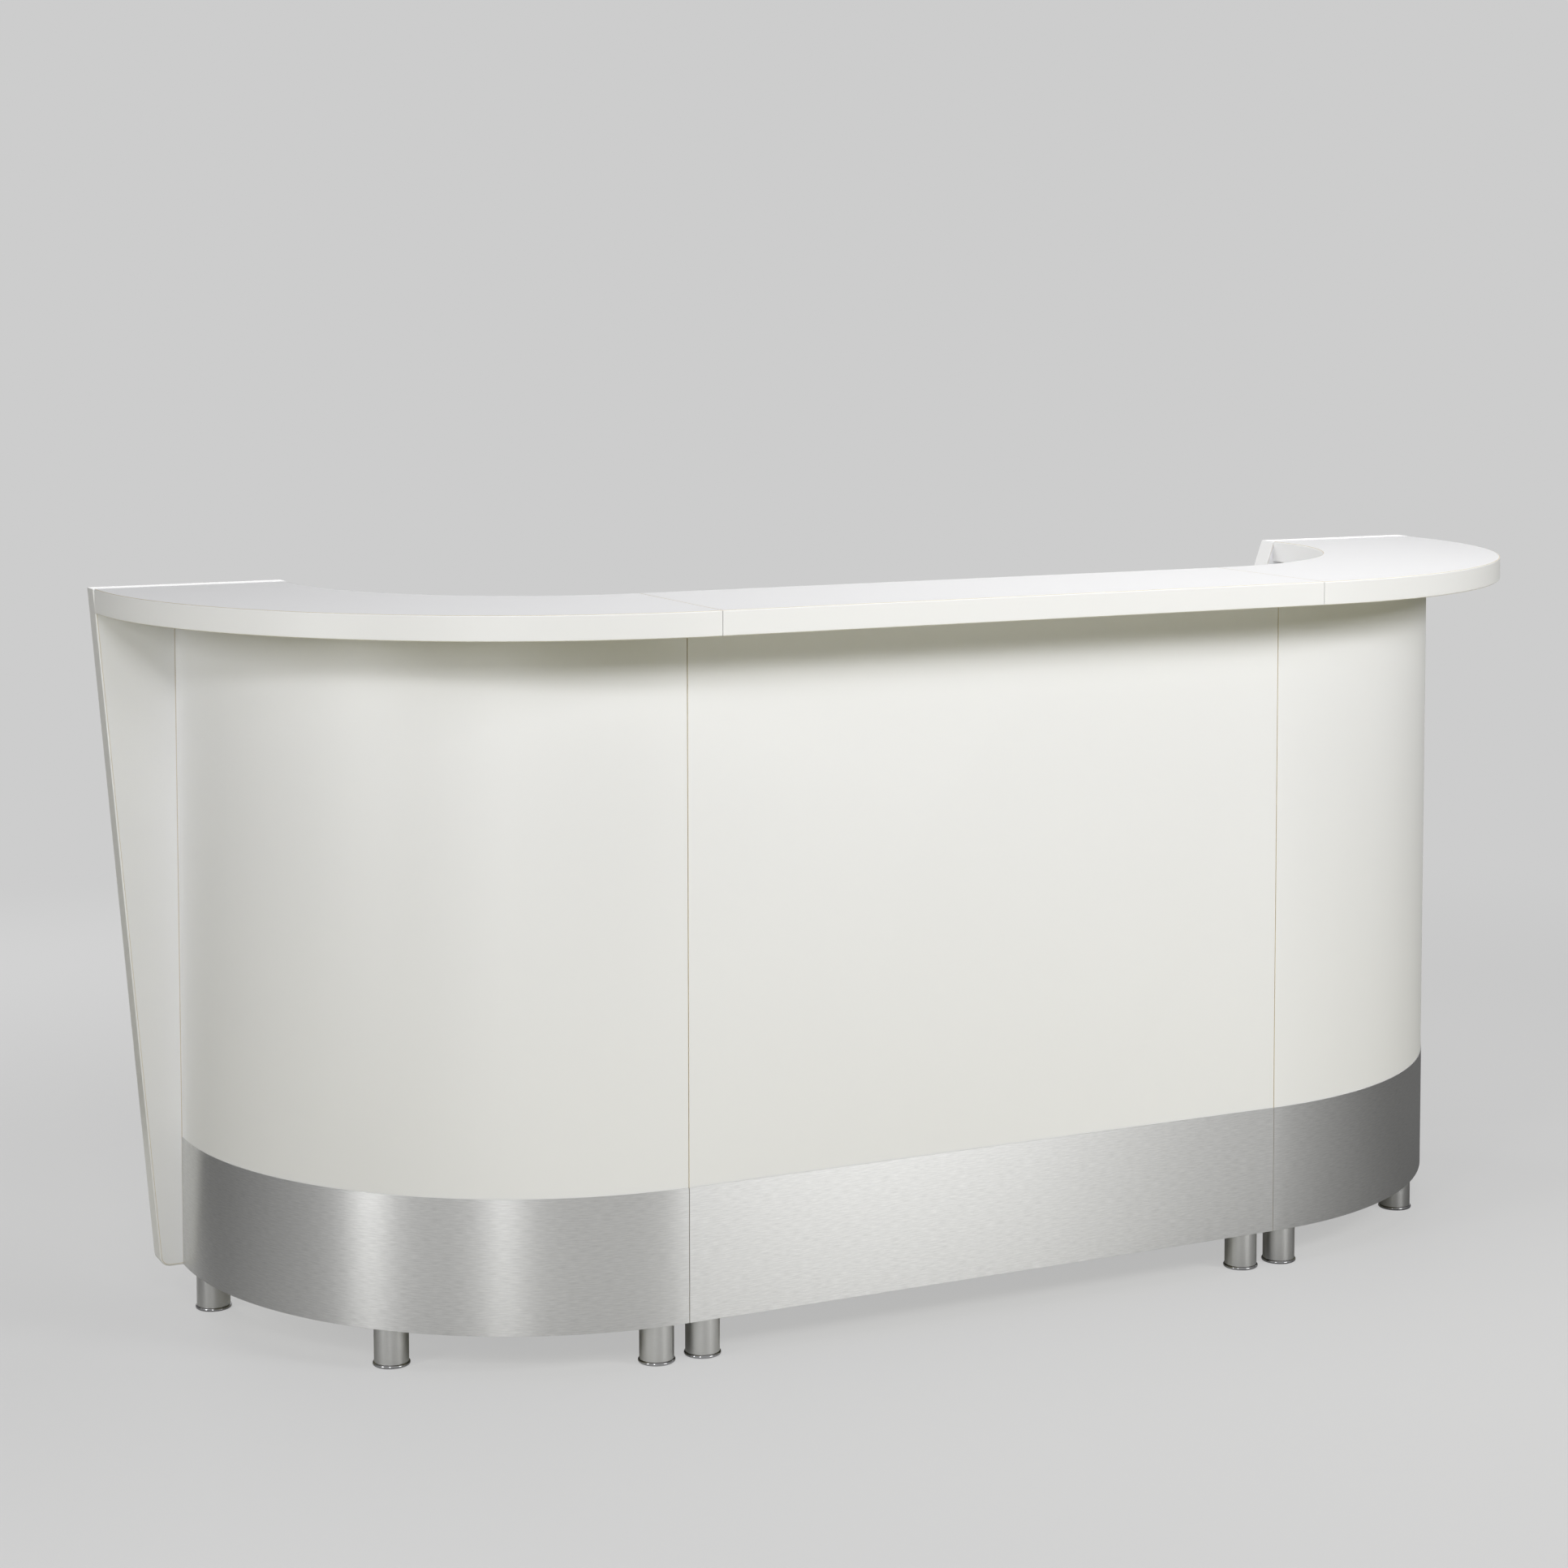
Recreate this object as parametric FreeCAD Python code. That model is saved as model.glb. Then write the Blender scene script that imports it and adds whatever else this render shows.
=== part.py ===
import FreeCAD, Part
import math
import os

from FreeCAD import Vector

# A bar counter of three modules: a straight one between two quarter-round corners.
# Millimetres, +Z up, customers stand on the -Y side, origin under the middle of the box.

# Plan of the modules
MODULE_WIDTH = 1000.0
CORNER_RADIUS = 572.0
CORNER_RUN = 20.0
SEAM_GAP = 0.8
JOINT_GAP = 0.5

# Worktops
COUNTER_HEIGHT = 1090.0
WORKTOP_THICKNESS = 36.0
WORKTOP_WIDTH = 292.0
OVERHANG = 120.0
EDGE_BAND = 3.0
ARRIS_RADIUS = 2.0

# Front panels and kick plates
PANEL_THICKNESS = 14.0
CARCASS_BOTTOM = 60.0
KICK_TOP = 256.0
KICK_THICKNESS = 1.0

# End gables: how far they stand out from the front panel, and how they widen inwards
GABLE_THICKNESS = 36.0
GABLE_OUT_TOP = 122.0
GABLE_OUT_BOTTOM = 35.0
BACK_SLOPE = 0.366
GABLE_CORNER_RADIUS = 15.0

# Side panels, base panels and shelves
BOARD = 18.0
SIDE_SETBACK = 15.0
BASE_DEPTH = 522.0
SHELF_CLEARANCE = 1.0
SHELVES = {"lower_shelf": (412.0, 390.0), "upper_shelf": (722.0, 276.0)}

# Shelf pins
PIN_RADIUS = 2.5
PIN_HEAD_RADIUS = 4.0
PIN_HEAD_LENGTH = 9.0
PIN_DEPTH = 8.0
PIN_INSET = 60.0

# Connectors through the side panels at the seams, as distances behind the front and heights
CONNECTOR_PLACES = [(60.0, 960.0), (60.0, 300.0), (370.0, 300.0)]
SLEEVE_RADIUS = 5.0
SLEEVE_LENGTH = 26.0
BOLT_RADIUS = 3.0
BOLT_LENGTH = 28.0
CONNECTOR_HEAD_RADIUS = 8.0
CONNECTOR_HEAD = 2.0

# Angle brackets under the worktops and their screws
BRACKET_LEG = 40.0
BRACKET_THICKNESS = 2.5
BRACKET_WIDTH = 20.0
BRACKET_HOLES = (14.0, 31.0)
BRACKET_SETBACKS = (54.0, 132.0)
SCREW_RADIUS = 2.0
SCREW_LENGTH = 14.0
SCREW_HEAD_RADIUS = 4.0
SCREW_HEAD = 2.2

# Feet
FOOT_RADIUS = 25.0
FOOT_WALL = 1.5
FOOT_SETBACK = 35.0
FOOT_END_INSET = 36.0
INNER_FOOT_OFFSET = 75.0
FOOT_TOP_DISC = 4.0
FLANGE_RADIUS = 27.0
FLANGE_HEIGHT = 5.0
FLANGE_ROUNDING = 2.2
STUD_RADIUS = 5.0
TOP_STUD_LENGTH = 14.0
GLIDE_STUD_LENGTH = 35.0
PLUG_BOTTOM = 8.0
PLUG_HEIGHT = 12.0
INSERT_RADIUS = 8.0
INSERT_LENGTH = 15.0

# Radial room of a pin, screw or stud in its hole
FIT = 0.05

# Worked out from the sizes above
DEPTH = OVERHANG + CORNER_RADIUS + CORNER_RUN + GABLE_THICKNESS
FRONT_Y = OVERHANG - DEPTH / 2
SEAM_X = MODULE_WIDTH / 2
ARC_Y = FRONT_Y + CORNER_RADIUS
GABLE_Y = ARC_Y + CORNER_RUN
PANEL_X = SEAM_X + CORNER_RADIUS
WORKTOP_BOTTOM = COUNTER_HEIGHT - WORKTOP_THICKNESS
WORKTOP_BACK = OVERHANG - WORKTOP_WIDTH
SEAM_END = SEAM_X - SEAM_GAP / 2
SIDE_INNER = SEAM_X - BOARD
BASE_TOP = CARCASS_BOTTOM + BOARD
UP = Vector(0, 0, 1)
ALONG_X = Vector(1, 0, 0)
ALONG_Y = Vector(0, 1, 0)


def mirrored(shape):
    """The same piece on the left-hand side."""
    return shape.mirror(Vector(0, 0, 0), ALONG_X)


def both_sides(shapes):
    """Right-hand pieces together with their left-hand twins."""
    return shapes + [mirrored(shape) for shape in shapes]


def drilled(board, holes):
    """A board with all its holes cut."""
    return board.cut(Part.makeCompound(holes))


def strip(inner, outer, low, high, half_length):
    """Straight board along X; inner and outer are distances in front of the front panel's face."""
    size = (2 * half_length, outer - inner, high - low)
    return Part.makeBox(*size, Vector(-half_length, FRONT_Y - outer, low))


def bend(inner, outer, low, high, start, end):
    """Board that follows the right corner from the plane x = start round to the plane y = end."""

    def arc_points(offset):
        radius = CORNER_RADIUS + offset
        first = Vector(start, ARC_Y - math.sqrt(radius ** 2 - (start - SEAM_X) ** 2), low)
        half = radius * math.sqrt(0.5)
        middle = Vector(SEAM_X + half, ARC_Y - half, low)
        last = Vector(SEAM_X + radius, ARC_Y, low)
        return first, middle, last, Vector(last.x, end, low)

    first_out, middle_out, last_out, end_out = arc_points(outer)
    first_in, middle_in, last_in, end_in = arc_points(inner)
    edges = [
        Part.Arc(first_out, middle_out, last_out).toShape(),
        Part.makeLine(last_out, end_out),
        Part.makeLine(end_out, end_in),
        Part.makeLine(end_in, last_in),
        Part.Arc(last_in, middle_in, first_in).toShape(),
        Part.makeLine(first_in, first_out),
    ]
    return Part.Face(Part.Wire(edges)).extrude(UP * (high - low))


def in_front(point):
    """Distance of a point of the right half in front of the front panel's face."""
    if point.x <= SEAM_X:
        return FRONT_Y - point.y
    if point.y >= ARC_Y:
        return point.x - PANEL_X
    return math.hypot(point.x - SEAM_X, point.y - ARC_Y) - CORNER_RADIUS


def rounded_band(band, face_offset):
    """Edge band whose long arrises on the outer face are rounded."""

    def on_outer_arris(edge):
        middle = edge.valueAt((edge.FirstParameter + edge.LastParameter) / 2)
        level = any(abs(middle.z - z) < 0.01 for z in (WORKTOP_BOTTOM, COUNTER_HEIGHT))
        return level and abs(in_front(middle) - face_offset) < 0.01

    return band.makeFillet(ARRIS_RADIUS, [edge for edge in band.Edges if on_outer_arris(edge)])


def back_edge(height):
    """How far behind the front panel's face the gable's sloping inner edge is at a height."""
    return -WORKTOP_BACK + BACK_SLOPE * (COUNTER_HEIGHT - height)


def rod(radius, base, direction, length):
    """Round bar from a base point along a direction."""
    return Part.makeCylinder(radius, length, base, direction)


def worktop_boards(board, holes):
    """Core board and rounded edge bands of one worktop."""
    core = drilled(board(WORKTOP_BACK + EDGE_BAND, OVERHANG - EDGE_BAND), holes)
    front = rounded_band(board(OVERHANG - EDGE_BAND, OVERHANG), OVERHANG)
    back = rounded_band(board(WORKTOP_BACK, WORKTOP_BACK + EDGE_BAND), WORKTOP_BACK)
    return core, Part.makeCompound([front, back])


def straight_worktop(holes):
    """Worktop of the middle module."""
    def board(inner, outer):
        return strip(inner, outer, WORKTOP_BOTTOM, COUNTER_HEIGHT, SEAM_END)
    return worktop_boards(board, holes)


def corner_worktop(holes):
    """Worktop of the right corner, which ends against the gable."""
    def board(inner, outer):
        start = SEAM_X + SEAM_GAP / 2
        return bend(inner, outer, WORKTOP_BOTTOM, COUNTER_HEIGHT, start, GABLE_Y - JOINT_GAP)
    return worktop_boards(board, holes)


def end_gable(holes):
    """Core and all-round edge band of the right end gable."""
    outline = [
        Vector(PANEL_X + GABLE_OUT_TOP, GABLE_Y, COUNTER_HEIGHT),
        Vector(PANEL_X + GABLE_OUT_BOTTOM, GABLE_Y, CARCASS_BOTTOM),
        Vector(PANEL_X - back_edge(CARCASS_BOTTOM), GABLE_Y, CARCASS_BOTTOM),
        Vector(PANEL_X + WORKTOP_BACK, GABLE_Y, COUNTER_HEIGHT),
    ]
    face = Part.Face(Part.makePolygon(outline + outline[:1]))
    slab = face.extrude(ALONG_Y * GABLE_THICKNESS)
    bottom_corners = [
        edge for edge in slab.Edges
        if all(abs(vertex.Z - CARCASS_BOTTOM) < 0.01 for vertex in edge.Vertexes)
        and abs(edge.Length - GABLE_THICKNESS) < 0.01
    ]
    slab = slab.makeFillet(GABLE_CORNER_RADIUS, bottom_corners)
    front = min(slab.Faces, key=lambda side: side.CenterOfMass.y)
    core_outline = front.OuterWire.makeOffset2D(-EDGE_BAND)
    core = Part.Face(core_outline).extrude(ALONG_Y * GABLE_THICKNESS)
    arrises = [
        edge for edge in slab.Edges
        if len({round(vertex.Y, 3) for vertex in edge.Vertexes}) == 1
    ]
    band = slab.makeFillet(ARRIS_RADIUS, arrises).cut(core)
    return drilled(core, holes), band


def side_panel(x, holes):
    """Upright board at a seam, with its outer or inner face at x and its back edge sloping."""
    back = [FRONT_Y + back_edge(z) - SIDE_SETBACK for z in (CARCASS_BOTTOM, WORKTOP_BOTTOM)]
    front = FRONT_Y + PANEL_THICKNESS + JOINT_GAP
    outline = [
        Vector(x, front, CARCASS_BOTTOM),
        Vector(x, back[0], CARCASS_BOTTOM),
        Vector(x, back[1], WORKTOP_BOTTOM),
        Vector(x, front, WORKTOP_BOTTOM),
    ]
    board = Part.Face(Part.makePolygon(outline + outline[:1])).extrude(ALONG_X * BOARD)
    return drilled(board, holes)


def pin(place, inwards):
    """Shelf pin with its head standing out of a board's face along inwards, and its hole."""
    head = rod(PIN_HEAD_RADIUS, place, inwards, PIN_HEAD_LENGTH)
    shank = rod(PIN_RADIUS, place, -inwards, PIN_DEPTH)
    hole = rod(PIN_RADIUS + FIT, place, -inwards, PIN_DEPTH + FIT)
    return head.fuse(shank), hole


def pins_on_side(x, inwards):
    """Pins of one side panel under the lower and upper shelves."""
    made = []
    for underside, depth in SHELVES.values():
        for behind in (PIN_INSET, depth - PIN_INSET):
            place = Vector(x, FRONT_Y + behind, underside - PIN_HEAD_RADIUS)
            made.append(pin(place, inwards))
    return made


def pins_on_gable():
    """Pins of the right gable under the lower and upper shelves."""
    made = []
    for underside, depth in SHELVES.values():
        for behind in (PIN_INSET, depth - PIN_INSET):
            place = Vector(PANEL_X - behind, GABLE_Y, underside - PIN_HEAD_RADIUS)
            made.append(pin(place, -ALONG_Y))
    return made


def connectors():
    """Sleeves, bolts and through holes that hold the straight module to the right corner."""
    sleeves = []
    bolts = []
    holes = []
    for behind, height in CONNECTOR_PLACES:
        outer = Vector(SEAM_X + BOARD, FRONT_Y + behind, height)
        inner = Vector(SIDE_INNER, FRONT_Y + behind, height)
        barrel = rod(SLEEVE_RADIUS, outer, -ALONG_X, SLEEVE_LENGTH)
        flange = rod(CONNECTOR_HEAD_RADIUS, outer, ALONG_X, CONNECTOR_HEAD)
        thread = rod(BOLT_RADIUS + FIT, outer, -ALONG_X, SLEEVE_LENGTH)
        sleeves.append(barrel.fuse(flange).cut(thread))
        shank = rod(BOLT_RADIUS, inner, ALONG_X, BOLT_LENGTH)
        bolts.append(shank.fuse(rod(CONNECTOR_HEAD_RADIUS, inner, -ALONG_X, CONNECTOR_HEAD)))
        holes.append(rod(SLEEVE_RADIUS + FIT, inner, ALONG_X, 2 * BOARD))
    return sleeves, bolts, holes


def bracket(place, quarter_turns):
    """Angle bracket in the corner between an upright face and the worktop, screws and pilot holes."""
    half = BRACKET_WIDTH / 2
    thick = BRACKET_THICKNESS
    upright = Part.makeBox(thick, BRACKET_WIDTH, BRACKET_LEG, Vector(0, -half, -BRACKET_LEG))
    level = Part.makeBox(BRACKET_LEG, BRACKET_WIDTH, thick, Vector(0, -half, -thick))
    angle = upright.fuse(level).removeSplitter()
    screws = []
    pilots = []
    for reach in BRACKET_HOLES:
        seats = [(Vector(thick, 0, -reach), -ALONG_X), (Vector(reach, 0, -thick), UP)]
        for seat, direction in seats:
            pilot = rod(SCREW_RADIUS + FIT, seat, direction, SCREW_LENGTH + FIT)
            angle = angle.cut(pilot)
            pilots.append(pilot)
            shank = rod(SCREW_RADIUS, seat, direction, SCREW_LENGTH)
            screws.append(shank.fuse(rod(SCREW_HEAD_RADIUS, seat, -direction, SCREW_HEAD)))
    turn = FreeCAD.Rotation(UP, 90 * quarter_turns)
    placement = FreeCAD.Placement(place, turn)
    for shape in [angle] + screws + pilots:
        shape.Placement = placement
    return angle, screws, pilots


def bracket_row(places, quarter_turns):
    """Brackets at several places, with their screws and pilot holes."""
    angles = []
    screws = []
    pilots = []
    for place in places:
        angle, its_screws, its_pilots = bracket(place, quarter_turns)
        angles.append(angle)
        screws += its_screws
        pilots += its_pilots
    return angles, screws, pilots


def foot(x, y):
    """Foot tube with its top stud, threaded plug, insert nut, glide and the insert's hole."""
    def at(height):
        return Vector(x, y, height)

    tube_height = CARCASS_BOTTOM - FLANGE_HEIGHT
    bore_height = tube_height - FOOT_TOP_DISC
    tube = rod(FOOT_RADIUS, at(FLANGE_HEIGHT), UP, tube_height)
    tube = tube.cut(rod(FOOT_RADIUS - FOOT_WALL, at(FLANGE_HEIGHT), UP, bore_height))
    tube = tube.fuse(rod(STUD_RADIUS, at(CARCASS_BOTTOM), UP, TOP_STUD_LENGTH))
    plug = rod(FOOT_RADIUS - FOOT_WALL - FIT, at(PLUG_BOTTOM), UP, PLUG_HEIGHT)
    plug = plug.cut(rod(STUD_RADIUS + FIT, at(PLUG_BOTTOM), UP, PLUG_HEIGHT))
    insert = rod(INSERT_RADIUS, at(CARCASS_BOTTOM), UP, INSERT_LENGTH)
    insert = insert.cut(rod(STUD_RADIUS + FIT, at(CARCASS_BOTTOM), UP, INSERT_LENGTH))
    flange = rod(FLANGE_RADIUS, at(0), UP, FLANGE_HEIGHT)
    rims = [edge for edge in flange.Edges if edge.Closed]
    flange = flange.makeFillet(FLANGE_ROUNDING, rims)
    glide = flange.fuse(rod(STUD_RADIUS, at(FLANGE_HEIGHT), UP, GLIDE_STUD_LENGTH))
    hole = rod(INSERT_RADIUS + FIT, at(CARCASS_BOTTOM), UP, INSERT_LENGTH + FIT)
    return {"tube": tube, "plug": plug, "insert": insert, "glide": glide, "hole": hole}


def corner_foot_places():
    """Feet of the right corner: at the seam, half way round, at the gable, near the arc's centre."""
    half = (CORNER_RADIUS - FOOT_SETBACK) * math.sqrt(0.5)
    return {
        "seam": (SEAM_X + FOOT_END_INSET, FRONT_Y + FOOT_SETBACK),
        "bend": (SEAM_X + half, ARC_Y - half),
        "end": (PANEL_X - FOOT_SETBACK, GABLE_Y - FOOT_END_INSET),
        "inner": (SEAM_X + INNER_FOOT_OFFSET, ARC_Y - INNER_FOOT_OFFSET),
    }


def straight_foot_places():
    """Feet on the right-hand end of the straight module."""
    x = SEAM_X - FOOT_END_INSET
    return {
        "front": (x, FRONT_Y + FOOT_SETBACK),
        "back": (x, FRONT_Y + BASE_DEPTH - FOOT_END_INSET),
    }


def build():
    """All the pieces of the counter by name."""
    seam_start = SEAM_X + SEAM_GAP / 2
    corner_side_face = SEAM_X + BOARD
    corner_end = GABLE_Y - JOINT_GAP
    board_front = -(PANEL_THICKNESS + JOINT_GAP)
    shelf_front = -(PANEL_THICKNESS + SHELF_CLEARANCE)

    sleeves, bolts, through_holes = connectors()
    straight_pins = pins_on_side(SIDE_INNER, -ALONG_X)
    corner_pins = pins_on_side(corner_side_face, ALONG_X)
    gable_pins = pins_on_gable()

    def under_worktop(x, y):
        return Vector(x, y, WORKTOP_BOTTOM)

    straight_row = bracket_row(
        [under_worktop(SIDE_INNER, FRONT_Y + behind) for behind in BRACKET_SETBACKS], 2)
    corner_row = bracket_row(
        [under_worktop(corner_side_face, FRONT_Y + behind) for behind in BRACKET_SETBACKS], 0)
    gable_row = bracket_row(
        [under_worktop(PANEL_X - behind, GABLE_Y) for behind in BRACKET_SETBACKS], -1)

    straight_feet = {name: foot(*place) for name, place in straight_foot_places().items()}
    corner_feet = {name: foot(*place) for name, place in corner_foot_places().items()}
    straight_foot_holes = [made["hole"] for made in straight_feet.values()]
    corner_foot_holes = [made["hole"] for made in corner_feet.values()]

    centre = {}
    centre["worktop"], centre["worktop_edge_band"] = straight_worktop(both_sides(straight_row[2]))
    centre["front_panel"] = strip(-PANEL_THICKNESS, 0, CARCASS_BOTTOM, WORKTOP_BOTTOM, SEAM_END)
    centre["kick_plate"] = strip(0, KICK_THICKNESS, CARCASS_BOTTOM, KICK_TOP, SEAM_END)
    base = strip(-BASE_DEPTH, board_front, CARCASS_BOTTOM, BASE_TOP, SIDE_INNER)
    centre["base_panel"] = drilled(base, both_sides(straight_foot_holes))

    right = {}
    right["worktop"], right["worktop_edge_band"] = corner_worktop(corner_row[2] + gable_row[2])
    right["front_panel"] = bend(
        -PANEL_THICKNESS, 0, CARCASS_BOTTOM, WORKTOP_BOTTOM, seam_start, corner_end)
    right["kick_plate"] = bend(
        0, KICK_THICKNESS, CARCASS_BOTTOM, KICK_TOP, seam_start, corner_end)
    base = bend(-BASE_DEPTH, board_front, CARCASS_BOTTOM, BASE_TOP, corner_side_face, corner_end)
    right["base_panel"] = drilled(base, corner_foot_holes)
    right["end_gable"], right["gable_edge_band"] = end_gable(
        [hole for _, hole in gable_pins] + gable_row[2])
    right["corner_side_panel"] = side_panel(
        SEAM_X, [hole for _, hole in corner_pins] + through_holes + corner_row[2])
    right["centre_side_panel"] = side_panel(
        SIDE_INNER, [hole for _, hole in straight_pins] + through_holes + straight_row[2])

    for name, (underside, depth) in SHELVES.items():
        top = underside + BOARD
        centre[name] = strip(-depth, shelf_front, underside, top, SIDE_INNER - SHELF_CLEARANCE)
        right[name] = bend(
            -depth, shelf_front, underside, top,
            corner_side_face + SHELF_CLEARANCE, GABLE_Y - SHELF_CLEARANCE)

    for name, made in straight_feet.items():
        right["foot_tube_centre_" + name] = made["tube"]
        right["glide_centre_" + name] = made["glide"]
    for name, made in corner_feet.items():
        right["foot_tube_" + name] = made["tube"]
        right["glide_" + name] = made["glide"]

    pieces = {name + "_centre": shape for name, shape in centre.items()}
    for name, shape in right.items():
        pieces[name + "_right"] = shape
        pieces[name + "_left"] = mirrored(shape)

    feet = list(straight_feet.values()) + list(corner_feet.values())
    pins = [made for made, _ in straight_pins + corner_pins + gable_pins]
    groups = {
        "shelf_pins": pins,
        "connector_sleeves": sleeves,
        "connector_bolts": bolts,
        "worktop_brackets": straight_row[0] + corner_row[0] + gable_row[0],
        "bracket_screws": straight_row[1] + corner_row[1] + gable_row[1],
        "foot_plugs": [made["plug"] for made in feet],
        "insert_nuts": [made["insert"] for made in feet],
    }
    for name, shapes in groups.items():
        pieces[name] = Part.makeCompound(both_sides(shapes))
    return pieces


os.makedirs("parts", exist_ok=True)
for node, shape in build().items():
    shape.exportStep(os.path.join("parts", node + ".step"))
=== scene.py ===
import math

import bmesh
import bpy
from bpy.props import FloatProperty, FloatVectorProperty, PointerProperty
from bpy.types import Operator, Panel, PropertyGroup
from mathutils import Matrix, Vector


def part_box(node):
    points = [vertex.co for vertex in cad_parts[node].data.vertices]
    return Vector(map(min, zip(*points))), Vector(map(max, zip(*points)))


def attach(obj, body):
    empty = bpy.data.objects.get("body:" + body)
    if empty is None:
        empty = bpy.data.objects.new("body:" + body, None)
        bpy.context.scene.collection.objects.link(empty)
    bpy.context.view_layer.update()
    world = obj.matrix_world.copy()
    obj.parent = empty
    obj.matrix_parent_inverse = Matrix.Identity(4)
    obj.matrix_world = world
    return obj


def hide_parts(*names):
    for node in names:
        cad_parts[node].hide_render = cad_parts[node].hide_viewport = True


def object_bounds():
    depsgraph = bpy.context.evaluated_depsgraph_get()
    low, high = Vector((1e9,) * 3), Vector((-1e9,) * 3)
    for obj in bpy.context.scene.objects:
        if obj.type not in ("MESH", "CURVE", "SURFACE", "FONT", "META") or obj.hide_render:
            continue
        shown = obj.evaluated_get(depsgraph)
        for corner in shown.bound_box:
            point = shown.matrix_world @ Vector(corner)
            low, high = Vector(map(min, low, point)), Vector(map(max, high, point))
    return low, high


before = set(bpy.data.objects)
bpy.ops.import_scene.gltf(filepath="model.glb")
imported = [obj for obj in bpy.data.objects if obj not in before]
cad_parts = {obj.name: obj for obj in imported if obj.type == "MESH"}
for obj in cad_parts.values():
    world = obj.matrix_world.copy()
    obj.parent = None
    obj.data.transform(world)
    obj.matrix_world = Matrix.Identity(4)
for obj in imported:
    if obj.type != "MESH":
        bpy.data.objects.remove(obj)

bl_info = {
    "name": "Bar Counter",
    "version": (1, 0, 0),
    "blender": (4, 5, 0),
    "location": "3D View > Sidebar > Bar Counter",
    "description": "Boards, steel and fittings of a three-module bar counter, and its studio",
    "category": "Object",
}

CAD_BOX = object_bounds()
COUNTER = "counter"
MODULES = ("left", "centre", "right")
SIDES = ("left", "right")
FOOT_PLACES = ("seam", "bend", "end", "inner", "centre_front", "centre_back")

# Plan of the counter, read from the frame: the front panels' face line and its two arcs
PANEL_LOW, PANEL_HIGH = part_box("front_panel_centre")
CORNER_LOW, CORNER_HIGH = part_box("front_panel_right")
FRONT_Y = PANEL_LOW.y
SEAM_X = (PANEL_HIGH.x + CORNER_LOW.x) / 2
CORNER_RADIUS = CORNER_HIGH.x - SEAM_X
ARC_Y = FRONT_Y + CORNER_RADIUS
PANEL_X = CORNER_HIGH.x

# How finely curves are divided
BEND_STEPS = 97
BEND_SHARE = 1 - 1 / BEND_STEPS
EASE_STEPS = 4
TURN_SEGMENTS = 96
FITTING_SEGMENTS = 32
THREAD_STEPS = 6
SHARP_ANGLE = math.radians(50)
MERGE_DISTANCE = 2e-6
JOINT_MARGIN = 1e-5

# Finishes of the boards: that of the faces first, then that of the edges; on the gables the second also
# paints a shade line on the face beside the front panel
FACE_WITH_JOINT_AND_SHADE = ("white_laminate_face", "laminate_joint_line")
CUT_FACE = ("white_laminate_face", "pressed_wood_core")
INNER_BOARD = ("white_melamine_face", "white_lipping_face")


def length(name, description, default):
    """Property that holds a size in metres."""
    return FloatProperty(
        name=name, description=description, default=default, min=0, unit="LENGTH", precision=4)


def colour(name, description, default):
    """Property that holds a colour."""
    return FloatVectorProperty(
        name=name, description=description, default=default, min=0, max=1, size=3, subtype="COLOR")


def place(name, description, default):
    """Property that holds a place in the frame."""
    return FloatVectorProperty(
        name=name, description=description, default=default, size=3, subtype="TRANSLATION", unit="LENGTH")


def angle(name, description, degrees):
    """Property that holds an angle."""
    return FloatProperty(name=name, description=description, default=math.radians(degrees), subtype="ANGLE")


def fraction(name, description, default):
    """Property that holds a share of one."""
    return FloatProperty(
        name=name, description=description, default=default, min=0, max=1, subtype="FACTOR")


class BoardSizes(PropertyGroup):
    """Sizes of the boards and of their edges."""

    lipping_arris: length("Lipping arris", "Radius of the long arrises of the edge bands", 0.002)
    panel_arris: length("Panel arris", "Radius of the arrises of the front panels", 0.0005)
    board_arris: length("Board arris", "Radius of the arrises of shelves and inner boards", 0.0008)
    end_ease: length("End ease", "Rounding of the ends of worktops at the seams", 0.0005)
    glue_line: length("Glue line", "Width of the joint that shows beside a gable's edge band", 0.0008)
    # Painted shade: the gable's face gets a dark strip this wide beside the front panel, standing in for
    # the shade in that joint
    joint_line: length("Joint line", "Width of the joint between a gable and a front panel", 0.001)
    gable_out_bottom: length("Gable foot", "How far a gable stands out from the front at its foot", 0.035)
    gable_corner: length("Gable corner", "Radius of the lower corners of a gable", 0.015)
    back_slope: FloatProperty(
        name="Back slope", description="How much deeper the carcass gets per unit of height", default=0.366)


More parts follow.
